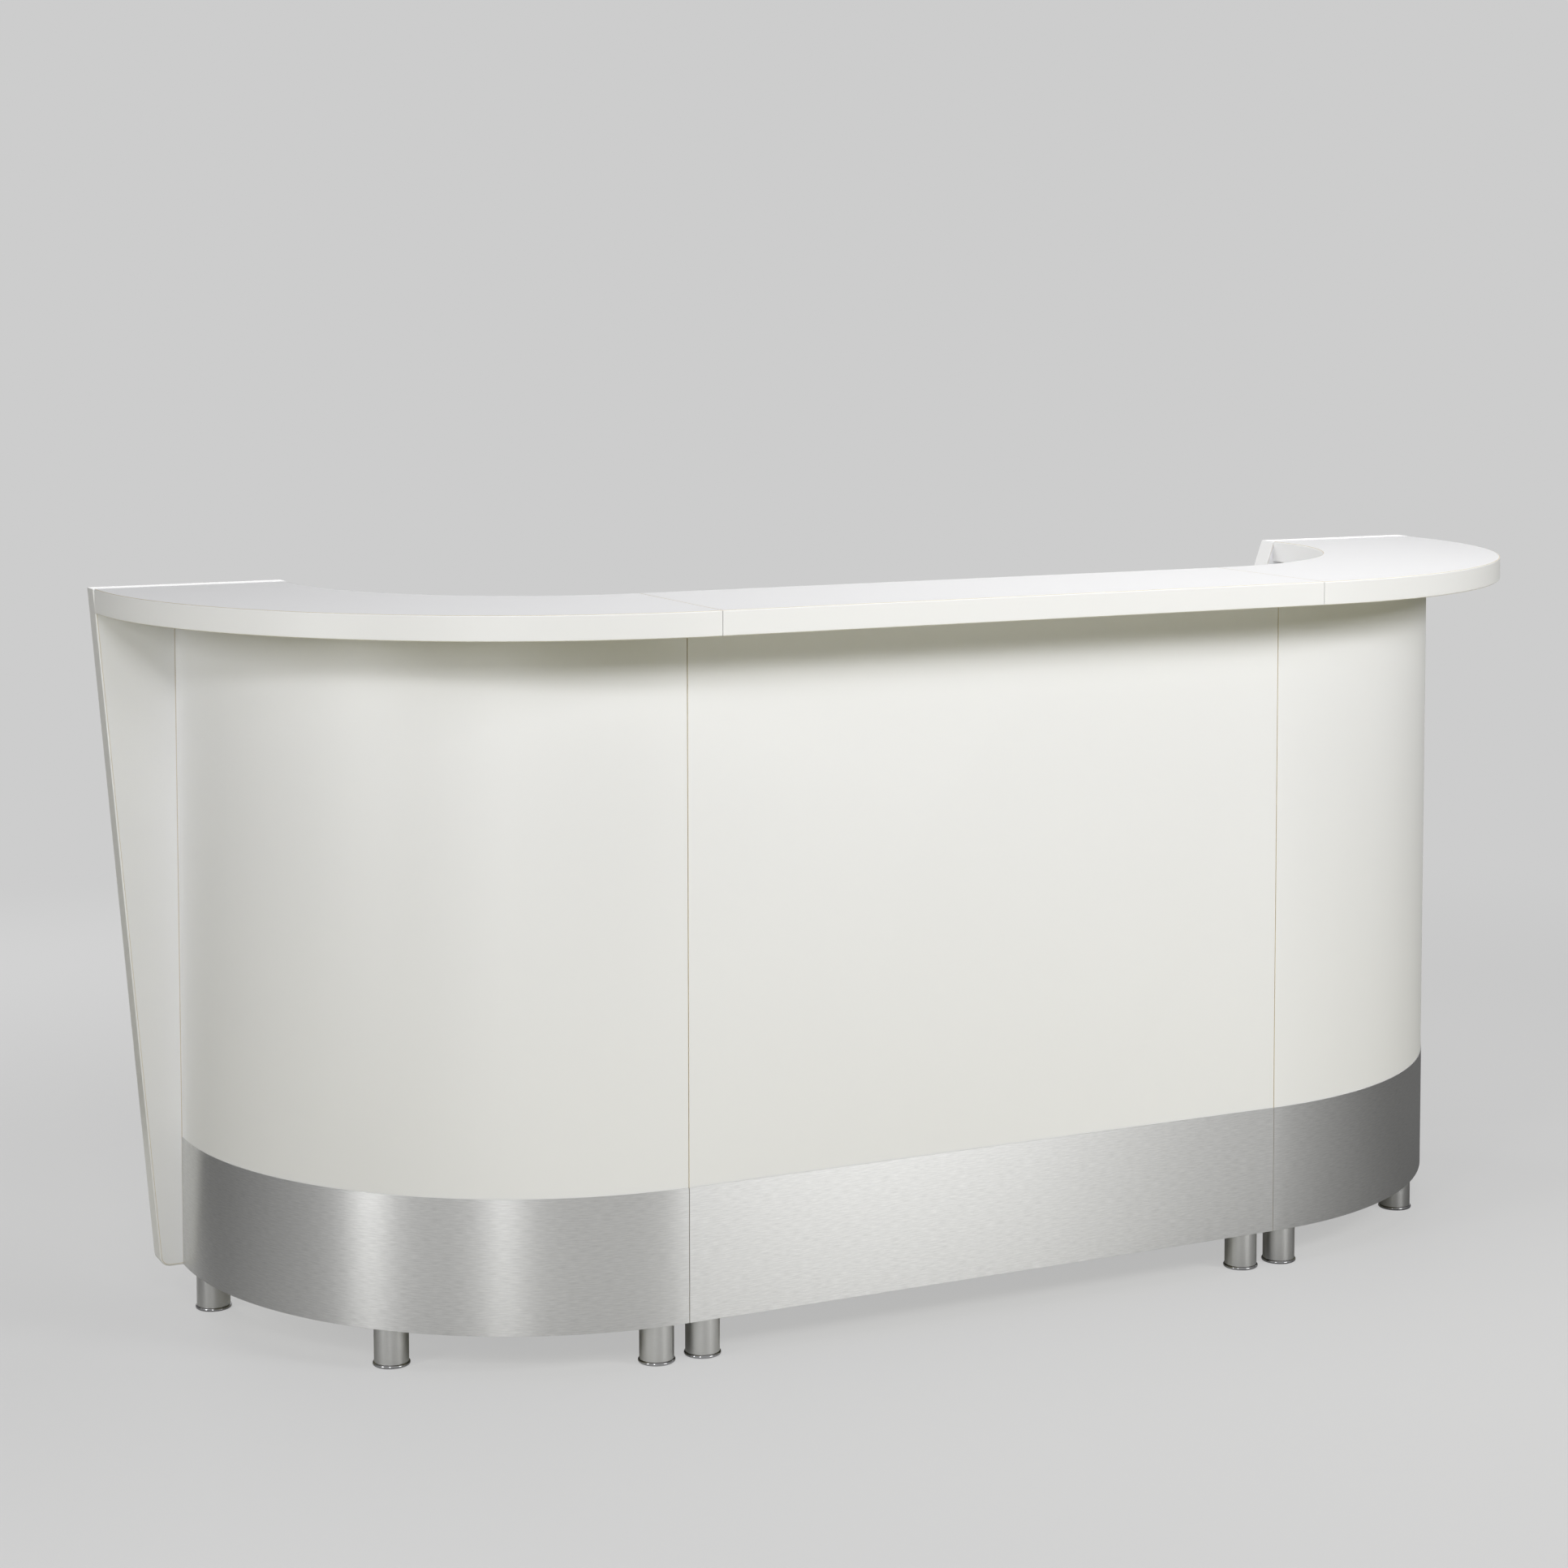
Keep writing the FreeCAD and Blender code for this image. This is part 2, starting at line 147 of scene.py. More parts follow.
class SteelSizes(PropertyGroup):
    """Sizes of the kick plates, feet and fittings."""

    sheet_arris: length("Sheet arris", "Rounding of the edges of the kick plates", 0.0003)
    tube_wall: length("Tube wall", "Wall of a foot tube", 0.0015)
    tube_top: length("Tube top", "Thickness of the disc that closes a foot tube", 0.004)
    tube_arris: length("Tube arris", "Rounding of the ends of a foot tube", 0.0005)
    stud_radius: length("Stud radius", "Radius of the threaded studs", 0.005)
    stud_pitch: length("Stud pitch", "Pitch of the thread on the studs", 0.0015)
    thread_depth: length("Thread depth", "Depth of the thread on the studs", 0.0008)
    flange_rounding: length("Flange rounding", "Rounding of a glide's flange", 0.0022)
    flange_height: length("Flange height", "Height of a glide's flange", 0.005)
    fit: length("Fit", "Radial room round a stud or bolt", 0.00005)
    pin_head: length("Pin head", "Length of a shelf pin's head", 0.009)
    pin_shank: length("Pin shank", "Radius of a shelf pin's shank", 0.0025)
    bolt_head: length("Connector head", "Height of the heads of connector bolts and sleeves", 0.002)
    bolt_shank: length("Connector shank", "Radius of a connector bolt's shank", 0.003)
    bolt_socket: length("Connector socket", "Radius of the hexagon socket in a connector bolt", 0.0029)
    sleeve_barrel: length("Sleeve barrel", "Outer radius of a connector sleeve", 0.005)
    screw_head: length("Screw head", "Height of a screw's head", 0.0022)
    screw_shank: length("Screw shank", "Radius of a screw's shank", 0.002)
    recess_width: length("Recess width", "Width of the cross recess in a screw's head", 0.001)
    bracket_thickness: length("Bracket thickness", "Thickness of the angle brackets", 0.0025)
    bracket_bend: length("Bracket bend", "Inner radius of the angle brackets", 0.0012)


class Finishes(PropertyGroup):
    """Colours of the materials."""

    laminate: colour("Laminate", "White laminate of worktops, fronts and gables", (0.826, 0.83, 0.853))
    board: colour("Inner board", "White melamine of shelves and inner boards", (0.815, 0.817, 0.818))
    lipping: colour("Edge band", "White edge bands", (0.812, 0.814, 0.826))
    core: colour("Board core", "Pressed wood that shows in the seams", (0.82, 0.76, 0.65))
    # The joint colour also paints the shade line on the gables' faces beside the front panels
    joint: colour("Joint line", "Edge of the laminate and glue beside the edge bands", (0.66, 0.6, 0.5))
    kick: colour("Kick plate", "Brushed stainless sheet", (0.65, 0.65, 0.638))
    tube: colour("Foot tube", "Satin stainless tube", (0.57, 0.57, 0.555))
    polished: colour("Glide", "Polished steel", (0.42, 0.42, 0.43))
    zinc: colour("Fittings", "Zinc plated steel", (0.62, 0.63, 0.65))
    nylon: colour("Nylon", "Moulded black nylon", (0.03, 0.03, 0.03))


class StudioSettings(PropertyGroup):
    """Camera and backdrop."""

    camera_place: place("Camera", "Where the camera stands", (-2.2891, -4.2559, 1.5032))
    camera_heading: angle("Heading", "How far the camera turns from +Y towards +X", 26.371)
    camera_dip: angle("Dip", "How far the camera looks down", 3.865)
    camera_roll: angle("Roll", "How far the camera leans to its right", 0.035)
    camera_lens: FloatProperty(name="Lens", description="Focal length on a 36 mm sensor", default=71.98)
    camera_drop: FloatProperty(name="Drop", description="How far the lens is shifted down", default=0.1687)
    camera_left: FloatProperty(name="Left", description="How far the lens is shifted left", default=0.0176)
    backdrop: colour("Backdrop", "Colour of the floor and background", (0.61, 0.61, 0.61))
    floor: colour("Floor", "Colour of the floor as the camera sees it under light", (0.72, 0.72, 0.72))
    bounce: colour("Floor bounce", "Colour of the light that the floor throws back", (0.452, 0.433, 0.283))
    overhead: colour("Overhead light", "Colour of the overhead softbox", (1.0, 0.985, 0.945))
    shadow_share: fraction("Shadow", "How much of the floor's own light and shade shows", 0.24)
    reflected_share: fraction("Reflected shadow", "How much of that light and shade shows in steel", 0.9)
    bright_share: fraction("Bright side", "Brightness in steel of the studio in front", 0.91)
    dark_share: fraction("Dark side", "Brightness in steel of the studio behind the counter", 0.31)
    behind_share: fraction("Floor behind", "Brightness in steel of the floor on the working side", 1.0)


def easing(radius):
    """Depth and inset of the points over an eased arris, from the face to the side."""
    turns = [math.pi / 2 * step / EASE_STEPS for step in range(EASE_STEPS + 1)]
    return [(radius * (1 - math.cos(turn)), radius * (1 - math.sin(turn))) for turn in turns]


def corner_arms(before, corner, after):
    """Directions from a corner to its neighbours, and half the angle between them."""
    to_before = (before - corner).normalized()
    to_after = (after - corner).normalized()
    return to_before, to_after, to_before.angle(to_after) / 2


def eased(before, corner, after, radius):
    """Points of the arc that eases a corner."""
    to_before, to_after, half = corner_arms(before, corner, after)
    centre = corner + (to_before + to_after).normalized() * (radius / math.sin(half))
    start = corner + to_before * (radius / math.tan(half)) - centre
    turn = math.copysign(math.pi - 2 * half, to_after.cross(to_before))
    return [
        centre + Matrix.Rotation(turn * step / EASE_STEPS, 2) @ start
        for step in range(EASE_STEPS + 1)
    ]


def outline(corners, radii, inset):
    """Points of a closed outline, set in from its sides; a corner with no radius stays one point."""
    count = len(corners)
    moved = []
    for index, corner in enumerate(corners):
        arms = corner_arms(corners[index - 1], corner, corners[(index + 1) % count])
        moved.append(corner + (arms[0] + arms[1]).normalized() * (inset / math.sin(arms[2])))
    points = []
    for index, (corner, radius) in enumerate(zip(moved, radii)):
        if not radius:
            points.append(corner)
            continue
        after = moved[(index + 1) % count]
        points += eased(moved[index - 1], corner, after, max(radius - inset, 0.0))
    return points


def shape_of(corners, radii):
    """A closed outline by its inset."""
    points = [Vector(corner) for corner in corners]

    def at(inset):
        return outline(points, radii, inset)

    return at


def section(inner, outer, low, high, radii):
    """Cross-section of a board by its inset: offsets in front of the panels' face, and heights."""
    return shape_of(((outer, low), (outer, high), (inner, high), (inner, low)), radii)


def straight_line(half):
    """Points along the straight module: by share of its length, setback of its ends, offset and height."""
    def at(along, setback, offset, height):
        return Vector(((half - setback) * (2 * along - 1), FRONT_Y - offset, height))

    return at


def corner_line(start, end):
    """Points round the right corner, from the plane x = start to the plane y = end."""
    def at(along, setback, offset, height):
        radius = CORNER_RADIUS + offset
        if along <= BEND_SHARE:
            first = math.asin((start + setback - SEAM_X) / radius)
            turn = first + (math.pi / 2 - first) * along / BEND_SHARE
            return Vector((SEAM_X + radius * math.sin(turn), ARC_Y - radius * math.cos(turn), height))
        past_bend = (along - BEND_SHARE) / (1 - BEND_SHARE)
        return Vector((SEAM_X + radius, ARC_Y + past_bend * (end - setback - ARC_Y), height))

    return at


def board_rows(line, cross_section, ease, steps):
    """Rows of a board that follows a line, with its ends eased."""
    stations = [(0.0, setback, inset) for setback, inset in easing(ease)]
    stations += [(step / steps, 0.0, 0.0) for step in range(1, steps)]
    stations += [(1.0, setback, inset) for setback, inset in reversed(easing(ease))]
    return [
        [line(along, setback, offset, height) for offset, height in cross_section(inset)]
        for along, setback, inset in stations
    ]


def slab_rows(shape, start, thickness, ease, to_point):
    """Rows of a flat board with eased arrises: an outline by inset, from start through its thickness."""
    layers = [(start + depth, inset) for depth, inset in easing(ease)]
    layers += [(start + thickness - depth, inset) for depth, inset in reversed(easing(ease))]
    return [[to_point(point, depth) for point in shape(inset)] for depth, inset in layers]


def across_counter(point, depth):
    """Place of an outline's point on an upright board that stands across the counter."""
    return Vector((depth, point.x, point.y))


def along_counter(point, depth):
    """Place of an outline's point on an upright board that stands along the counter."""
    return Vector((point.x, depth, point.y))


def turned_rows(profile, segments, centre=(0.0, 0.0)):
    """Rings of a shape turned about an upright axis; a radius may be a function of the angle."""
    turns = [math.tau * step / segments for step in range(segments)]
    rows = []
    for radius, height in profile:
        reaches = [radius(turn) if callable(radius) else radius for turn in turns]
        rows.append([
            Vector((centre[0] + reach * math.cos(turn), centre[1] + reach * math.sin(turn), height))
            for reach, turn in zip(reaches, turns)
        ])
    return rows


def turned_profile(corners, radii):
    """Profile of a turned shape, from radius and height pairs, with its corners eased."""
    points = [Vector(corner) for corner in corners]
    profile = [points[0]]
    for index in range(1, len(points) - 1):
        if radii[index]:
            profile += eased(points[index - 1], points[index], points[index + 1], radii[index])
        else:
            profile.append(points[index])
    return profile + [points[-1]]


def skin(rows, columns=None, cap_finish=0, cap_rows=0, capped=True, ring=False, mesh=None):
    """Surface through rows of points, closed round each row, with a map of lengths along and across.

    columns gives the finish of each strip between two points of a row, and cap_finish that of the ends
    and of the cap_rows next to them. A ring's last row joins its first. A mesh that is given is added to.
    """
    mesh = mesh or bmesh.new()
    grain = mesh.loops.layers.uv.get("grain") or mesh.loops.layers.uv.new("grain")
    verts = [[mesh.verts.new(point) for point in row] for row in rows]
    count = len(rows[0])
    middle = rows[len(rows) // 2]
    along = [0.0]
    for here, there in zip(rows, rows[1:] + rows[:1]):
        along.append(along[-1] + (there[0] - here[0]).length)
    across = [0.0]
    for column in range(count):
        across.append(across[-1] + (middle[(column + 1) % count] - middle[column]).length)
    spans = len(rows) if ring else len(rows) - 1
    for row in range(spans):
        below, above = verts[row], verts[(row + 1) % len(rows)]
        at_end = row < cap_rows or row >= spans - cap_rows
        for column in range(count):
            beside = (column + 1) % count
            face = mesh.faces.new((below[column], above[column], above[beside], below[beside]))
            side_finish = columns[column] if columns else 0
            face.material_index = cap_finish if at_end else side_finish
            lengths = (along[row], along[row + 1], along[row + 1], along[row])
            widths = (across[column], across[column], across[column + 1], across[column + 1])
            for loop, run, rise in zip(face.loops, lengths, widths):
                loop[grain].uv = (run, rise)
    if capped and not ring:
        for row in (verts[0], verts[-1]):
            mesh.faces.new(row).material_index = cap_finish
    return mesh


def on_side(mesh, module):
    """A right-hand surface on the side of its module."""
    if module == "left":
        bmesh.ops.scale(mesh, vec=(-1, 1, 1), verts=mesh.verts)
    return mesh


def closed(mesh):
    """A surface with its doubled points merged and its faces outwards."""
    bmesh.ops.remove_doubles(mesh, verts=mesh.verts, dist=MERGE_DISTANCE)
    bmesh.ops.recalc_face_normals(mesh, faces=mesh.faces)
    return mesh


def data_of(name, mesh):
    """Mesh data of a surface, which is used up."""
    data = bpy.data.meshes.new(name)
    mesh.to_mesh(data)
    mesh.free()
    return data


def linked(name, data):
    """New object in the scene."""
    made = bpy.data.objects.new(name, data)
    bpy.context.scene.collection.objects.link(made)
    return made


def discard(made):
    """Removes an object and its mesh."""
    spare = made.data
    bpy.data.objects.remove(made)
    bpy.data.meshes.remove(spare)


def shaded(name, mesh, finishes):
    """Object of a closed surface, smooth over its eased arrises and flat on its faces."""
    data = data_of(name, closed(mesh))
    for material in finishes:
        data.materials.append(material)
    data.shade_smooth()
    data.set_sharp_from_angle(angle=SHARP_ANGLE)
    made = linked(name, data)
    even = made.modifiers.new("even_shading", "WEIGHTED_NORMAL")
    even.keep_sharp = True
    settle(made)
    return made


def settle(made):
    """Turns an object's modifiers into its plain mesh."""
    graph = bpy.context.evaluated_depsgraph_get()
    result = bpy.data.meshes.new_from_object(
        made.evaluated_get(graph), preserve_all_data_layers=True, depsgraph=graph)
    made.modifiers.clear()
    spare = made.data
    made.data = result
    bpy.data.meshes.remove(spare)
    result.name = made.name


def stands_for(made, body, slot, *nodes):
    """Puts a piece on a body, in the place of its nodes."""
    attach(made, body)
    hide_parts(*nodes)


def piece(name, mesh, finishes, slot, node, body=COUNTER):
    """Finished piece of a surface, on its body and in the place of its node."""
    made = shaded(name, mesh, [finish(each) for each in finishes])
    stands_for(made, body, slot, node)


def add(tree, kind, values=None, **settings):
    """New node with its settings; a value that is a socket is linked, any other is set."""
    made = tree.nodes.new(kind)
    for name, value in settings.items():
        setattr(made, name, value)
    for name, value in (values or {}).items():
        if isinstance(value, bpy.types.NodeSocket):
            tree.links.new(value, made.inputs[name])
        else:
            made.inputs[name].default_value = value
    return made


def tinted(base, factor):
    """A colour made lighter or darker, with its alpha."""
    return (*(min(channel * factor, 1.0) for channel in base), 1.0)


def noise(tree, vector, scale, detail=2.0):
    """Height of a noise pattern at a scale, in pattern units per metre."""
    made = add(tree, "ShaderNodeTexNoise", {"Vector": vector, "Scale": scale, "Detail": detail})
    return made.outputs["Fac"]


def spread(tree, value, low, high):
    """A 0 to 1 value mapped to a range."""
    made = add(tree, "ShaderNodeMapRange", {"Value": value, "To Min": low, "To Max": high})
    return made.outputs["Result"]


def faded(tree, value, start, end, at_start, at_end):
    """A value mapped smoothly from one range to another."""
    made = add(tree, "ShaderNodeMapRange", {
        "Value": value, "From Min": start, "From Max": end, "To Min": at_start, "To Max": at_end},
        interpolation_type="SMOOTHSTEP")
    return made.outputs["Result"]


def maths(tree, operation, first, second):
    """Result of an operation on two values."""
    return add(tree, "ShaderNodeMath", {0: first, 1: second}, operation=operation).outputs["Value"]


def on_vectors(tree, operation, result, *vectors):
    """Vector or Value that results from an operation on vectors."""
    made = add(tree, "ShaderNodeVectorMath", dict(enumerate(vectors)), operation=operation)
    return made.outputs[result]


def blend(tree, amount, first, second):
    """Shader between two others."""
    return add(tree, "ShaderNodeMixShader", {0: amount, 1: first, 2: second}).outputs["Shader"]


def tint(tree, shader, pattern, base, dark, light):
    """Colours a shader by a pattern, between a darker and a lighter tint of a base."""
    made = add(tree, "ShaderNodeMixRGB", {
        "Fac": pattern, "Color1": tinted(base, dark), "Color2": tinted(base, light)})
    tree.links.new(made.outputs["Color"], shader.inputs["Base Color"])


def gloss(tree, shader, pattern, roughness, variation):
    """Varies a shader's roughness by a pattern."""
    made = spread(tree, pattern, roughness - variation, roughness + variation)
    tree.links.new(made, shader.inputs["Roughness"])


def new_finish(name, metallic=0.0):
    """New material, its node tree and its shader."""
    material = bpy.data.materials.new(name)
    material.use_nodes = True
    tree = material.node_tree
    shader = tree.nodes["Principled BSDF"]
    shader.inputs["Metallic"].default_value = metallic
    return material, tree, shader


def object_coordinates(tree):
    """Place on the piece, in metres."""
    return add(tree, "ShaderNodeTexCoord").outputs["Object"]


def relief(tree, shader, height, strength, depth):
    """Bump on a shader from a height pattern."""
    bump = add(tree, "ShaderNodeBump", {"Strength": strength, "Distance": depth, "Height": height})
    tree.links.new(bump.outputs["Normal"], shader.inputs["Normal"])


def sheet_finish(name, base, roughness, pebbles, bump):
    """White sheet or plastic: faint clouding, and a fine pebbled surface."""
    material, tree, shader = new_finish(name)
    where = object_coordinates(tree)
    clouds = noise(tree, where, scale=2.2, detail=3.0)
    surface = noise(tree, where, scale=pebbles)
    tint(tree, shader, clouds, base, dark=0.985, light=1.012)
    gloss(tree, shader, surface, roughness, variation=0.06)
    relief(tree, shader, surface, strength=bump, depth=0.0003)
    return material


def fibre_finish(name, base):
    """Pressed wood fibre, as it shows at cut edges and joints."""
    material, tree, shader = new_finish(name)
    fibres = noise(tree, object_coordinates(tree), scale=900.0, detail=4.0)
    tint(tree, shader, fibres, base, dark=0.8, light=1.15)
    shader.inputs["Roughness"].default_value = 0.85
    relief(tree, shader, fibres, strength=0.3, depth=0.0003)
    return material


def brushed_finish(name, base, roughness, anisotropy, hairs, turn, contrast):
    """Brushed steel: hairlines on the grain map, in numbers per metre, and a gloss that follows them."""
    material, tree, shader = new_finish(name, metallic=1.0)
    shader.inputs["Anisotropic"].default_value = anisotropy
    shader.inputs["Anisotropic Rotation"].default_value = turn
    grain = add(tree, "ShaderNodeUVMap", uv_map="grain").outputs["UV"]
    fine = add(tree, "ShaderNodeMapping", {"Vector": grain, "Scale": (*hairs, 1.0)}).outputs["Vector"]
    hairlines = noise(tree, fine, scale=1.0, detail=3.0)
    tint(tree, shader, hairlines, base, dark=1 - contrast, light=1 + contrast)
    gloss(tree, shader, hairlines, roughness, variation=0.08)
    tangent = add(tree, "ShaderNodeTangent", direction_type="UV_MAP", uv_map="grain")
    tree.links.new(tangent.outputs["Tangent"], shader.inputs["Tangent"])
    relief(tree, shader, hairlines, strength=0.1, depth=0.0001)
    return material


def plated_finish(name, base, roughness, clouding):
    """Plated or polished steel with faint clouds and finer wipe marks."""
    material, tree, shader = new_finish(name, metallic=1.0)
    where = object_coordinates(tree)
    clouds = noise(tree, where, scale=clouding, detail=3.0)
    marks = noise(tree, where, scale=clouding * 9)
    tint(tree, shader, clouds, base, dark=0.9, light=1.08)
    gloss(tree, shader, marks, roughness, variation=0.4 * roughness)
    relief(tree, shader, marks, strength=0.03, depth=0.0001)
    return material


def moulded_finish(name, base):
    """Moulded plastic with a fine texture."""
    material, tree, shader = new_finish(name)
    texture = noise(tree, object_coordinates(tree), scale=1500.0)
    tint(tree, shader, texture, base, dark=0.8, light=1.3)
    gloss(tree, shader, texture, roughness=0.5, variation=0.1)
    relief(tree, shader, texture, strength=0.2, depth=0.0002)
    return material


# Finishes by name: how each is made, its colour, and the sizes of its pattern in units per metre
FINISHES = {
    "white_laminate_face": (sheet_finish, "laminate", {"roughness": 0.42, "pebbles": 420.0, "bump": 0.05}),
    "white_melamine_face": (sheet_finish, "board", {"roughness": 0.5, "pebbles": 300.0, "bump": 0.08}),
    "white_lipping_face": (sheet_finish, "lipping", {"roughness": 0.42, "pebbles": 650.0, "bump": 0.03}),
    "glossy_lipping_face": (sheet_finish, "lipping", {"roughness": 0.14, "pebbles": 650.0, "bump": 0.01}),
    "pressed_wood_core": (fibre_finish, "core", {}),
    # Laminate edges and glue lines, and also the painted shade line on the gables' faces
    "laminate_joint_line": (fibre_finish, "joint", {}),
    "brushed_kick_steel": (brushed_finish, "kick", {
        "roughness": 0.35, "anisotropy": 0.75, "hairs": (62.0, 640.0), "turn": 0.25, "contrast": 0.22}),
    "satin_tube_steel": (brushed_finish, "tube", {
        "roughness": 0.42, "anisotropy": 0.3, "hairs": (900.0, 90.0), "turn": 0.0, "contrast": 0.06}),
    "polished_glide_steel": (plated_finish, "polished", {"roughness": 0.12, "clouding": 60.0}),
    "zinc_plated_steel": (plated_finish, "zinc", {"roughness": 0.34, "clouding": 140.0}),
    "black_moulded_nylon": (moulded_finish, "nylon", {}),
}


def finish(name):
    """The material of a finish, made when it is first asked for."""
    if name in bpy.data.materials:
        return bpy.data.materials[name]
    maker, colour_name, pattern = FINISHES[name]
    return maker(name, getattr(bpy.context.scene.bar_counter_finishes, colour_name), **pattern)


class Extent:
    """Offsets, heights and ends of one kind of board, read from its straight and right-hand nodes."""

    def __init__(self, kind):
        low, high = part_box(kind + "_centre")
        corner_low, corner_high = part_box(kind + "_right")
        self.inner = FRONT_Y - high.y
        self.outer = FRONT_Y - low.y
        self.low = low.z
        self.high = high.z
        self.half = high.x
        self.start = corner_low.x
        self.end = corner_high.y

    def rows(self, module, cross_section, ease):
        """Rows of a board of this kind in a module, built on the right for both corners."""
        if module == "centre":
            return board_rows(straight_line(self.half), cross_section, ease, 1)
        return board_rows(corner_line(self.start, self.end), cross_section, ease, BEND_STEPS)


def plain_boards(kind, arris, finishes, slot, columns=None, cut_ends=False):
    """The boards of a kind in all modules, with their arrises eased; cut ends show the last finish."""
    extent = Extent(kind)
    shape = section(extent.inner, extent.outer, extent.low, extent.high, [arris] * 4)
    for module in MODULES:
        mesh = skin(extent.rows(module, shape, arris), columns, int(cut_ends), EASE_STEPS * cut_ends)
        node = kind + "_" + module
        piece(node + "_board", on_side(mesh, module), finishes, slot, node)


def long_edge_columns(after_corner):
    """Strips of a fully eased section, with finish 1 on the face after a corner and on its arrises."""
    per_corner = EASE_STEPS + 1
    columns = [0] * (4 * per_corner)
    for column in range(after_corner * per_corner, (after_corner + 2) * per_corner - 1):
        columns[column % len(columns)] = 1
    return columns


def inner_boards(kind, arris):
    """Inner boards of a kind in all modules, with an edge band towards the bartender."""
    plain_boards(kind, arris, INNER_BOARD, "white_board", long_edge_columns(after_corner=2))


class BARCOUNTER_OT_worktops(Operator):
    """Laminate worktops of the three modules, with the edge bands on their long sides"""

    bl_idname = "barcounter.worktops"
    bl_label = "Worktops"

    def lipping(self, core, module, sizes):
        """Surface of a module's two edge bands, whose outer arrises show the cut edge of the laminate."""
        band = Extent("worktop_edge_band")
        arris = sizes.lipping_arris
        half = EASE_STEPS // 2
        arc = [1] * half + [0] * (EASE_STEPS - half)
        rounded = arc + [0] + arc[::-1] + [0]
        front = section(core.outer, band.outer, band.low, band.high, [arris, arris, 0, 0])
        back = section(band.inner, core.inner, band.low, band.high, [0, 0, arris, arris])
        mesh = skin(core.rows(module, front, sizes.end_ease), rounded + [0, 0])
        return skin(core.rows(module, back, sizes.end_ease), [0, 0] + rounded, mesh=mesh)

    def execute(self, context):
        sizes = context.scene.bar_counter_boards
        core = Extent("worktop")
        shape = section(core.inner, core.outer, core.low, core.high, [0, 0, 0, 0])
        for module in MODULES:
            node = "worktop_" + module
            mesh = skin(core.rows(module, shape, sizes.end_ease), cap_finish=1, cap_rows=EASE_STEPS)
            piece(node + "_board", on_side(mesh, module), FACE_WITH_JOINT_AND_SHADE, "white_laminate", node)
            mesh = on_side(self.lipping(core, module, sizes), module)
            piece(node + "_lipping", mesh, ["white_lipping_face", "laminate_joint_line"],
                  "white_edge_band", "worktop_edge_band_" + module)
        return {"FINISHED"}


class BARCOUNTER_OT_front_panels(Operator):
    """White front panels, flat in the middle and bent round the corners"""

    bl_idname = "barcounter.front_panels"
    bl_label = "Front Panels"

    def execute(self, context):
        arris = context.scene.bar_counter_boards.panel_arris
        plain_boards("front_panel", arris, CUT_FACE, "white_laminate", cut_ends=True)
        return {"FINISHED"}


class BARCOUNTER_OT_kick_plates(Operator):
    """Brushed steel sheets over the foot of the front panels"""

    bl_idname = "barcounter.kick_plates"
    bl_label = "Kick Plates"

    def execute(self, context):
        arris = context.scene.bar_counter_steel.sheet_arris
        plain_boards("kick_plate", arris, ["brushed_kick_steel"], "brushed_stainless")
        return {"FINISHED"}


class BARCOUNTER_OT_shelves(Operator):
    """Lower and upper shelves, with an edge band towards the bartender"""

    bl_idname = "barcounter.shelves"
    bl_label = "Shelves"

    def execute(self, context):
        arris = context.scene.bar_counter_boards.board_arris
        for kind in ("lower_shelf", "upper_shelf"):
            inner_boards(kind, arris)
        return {"FINISHED"}


class BARCOUNTER_OT_base_panels(Operator):
    """Base panels that carry the feet"""

    bl_idname = "barcounter.base_panels"
    bl_label = "Base Panels"

    def execute(self, context):
        inner_boards("base_panel", context.scene.bar_counter_boards.board_arris)
        return {"FINISHED"}


class BARCOUNTER_OT_side_panels(Operator):
    """Upright boards at the seams, with a sloping back edge"""

    bl_idname = "barcounter.side_panels"
    bl_label = "Side Panels"

    def execute(self, context):
        sizes = context.scene.bar_counter_boards
        arris = sizes.board_arris
        for kind in ("corner_side_panel", "centre_side_panel"):
            low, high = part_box(kind + "_right")
            top_back = high.y - sizes.back_slope * (high.z - low.z)
            corners = ((low.y, low.z), (high.y, low.z), (top_back, high.z), (low.y, high.z))
            shape = shape_of(corners, [arris] * 4)
            rows = slab_rows(shape, low.x, high.x - low.x, arris, across_counter)
            for side in SIDES:
                mesh = skin(rows, long_edge_columns(after_corner=1))
                node = kind + "_" + side
                piece(node + "_board", on_side(mesh, side), INNER_BOARD, "white_board", node)
        return {"FINISHED"}


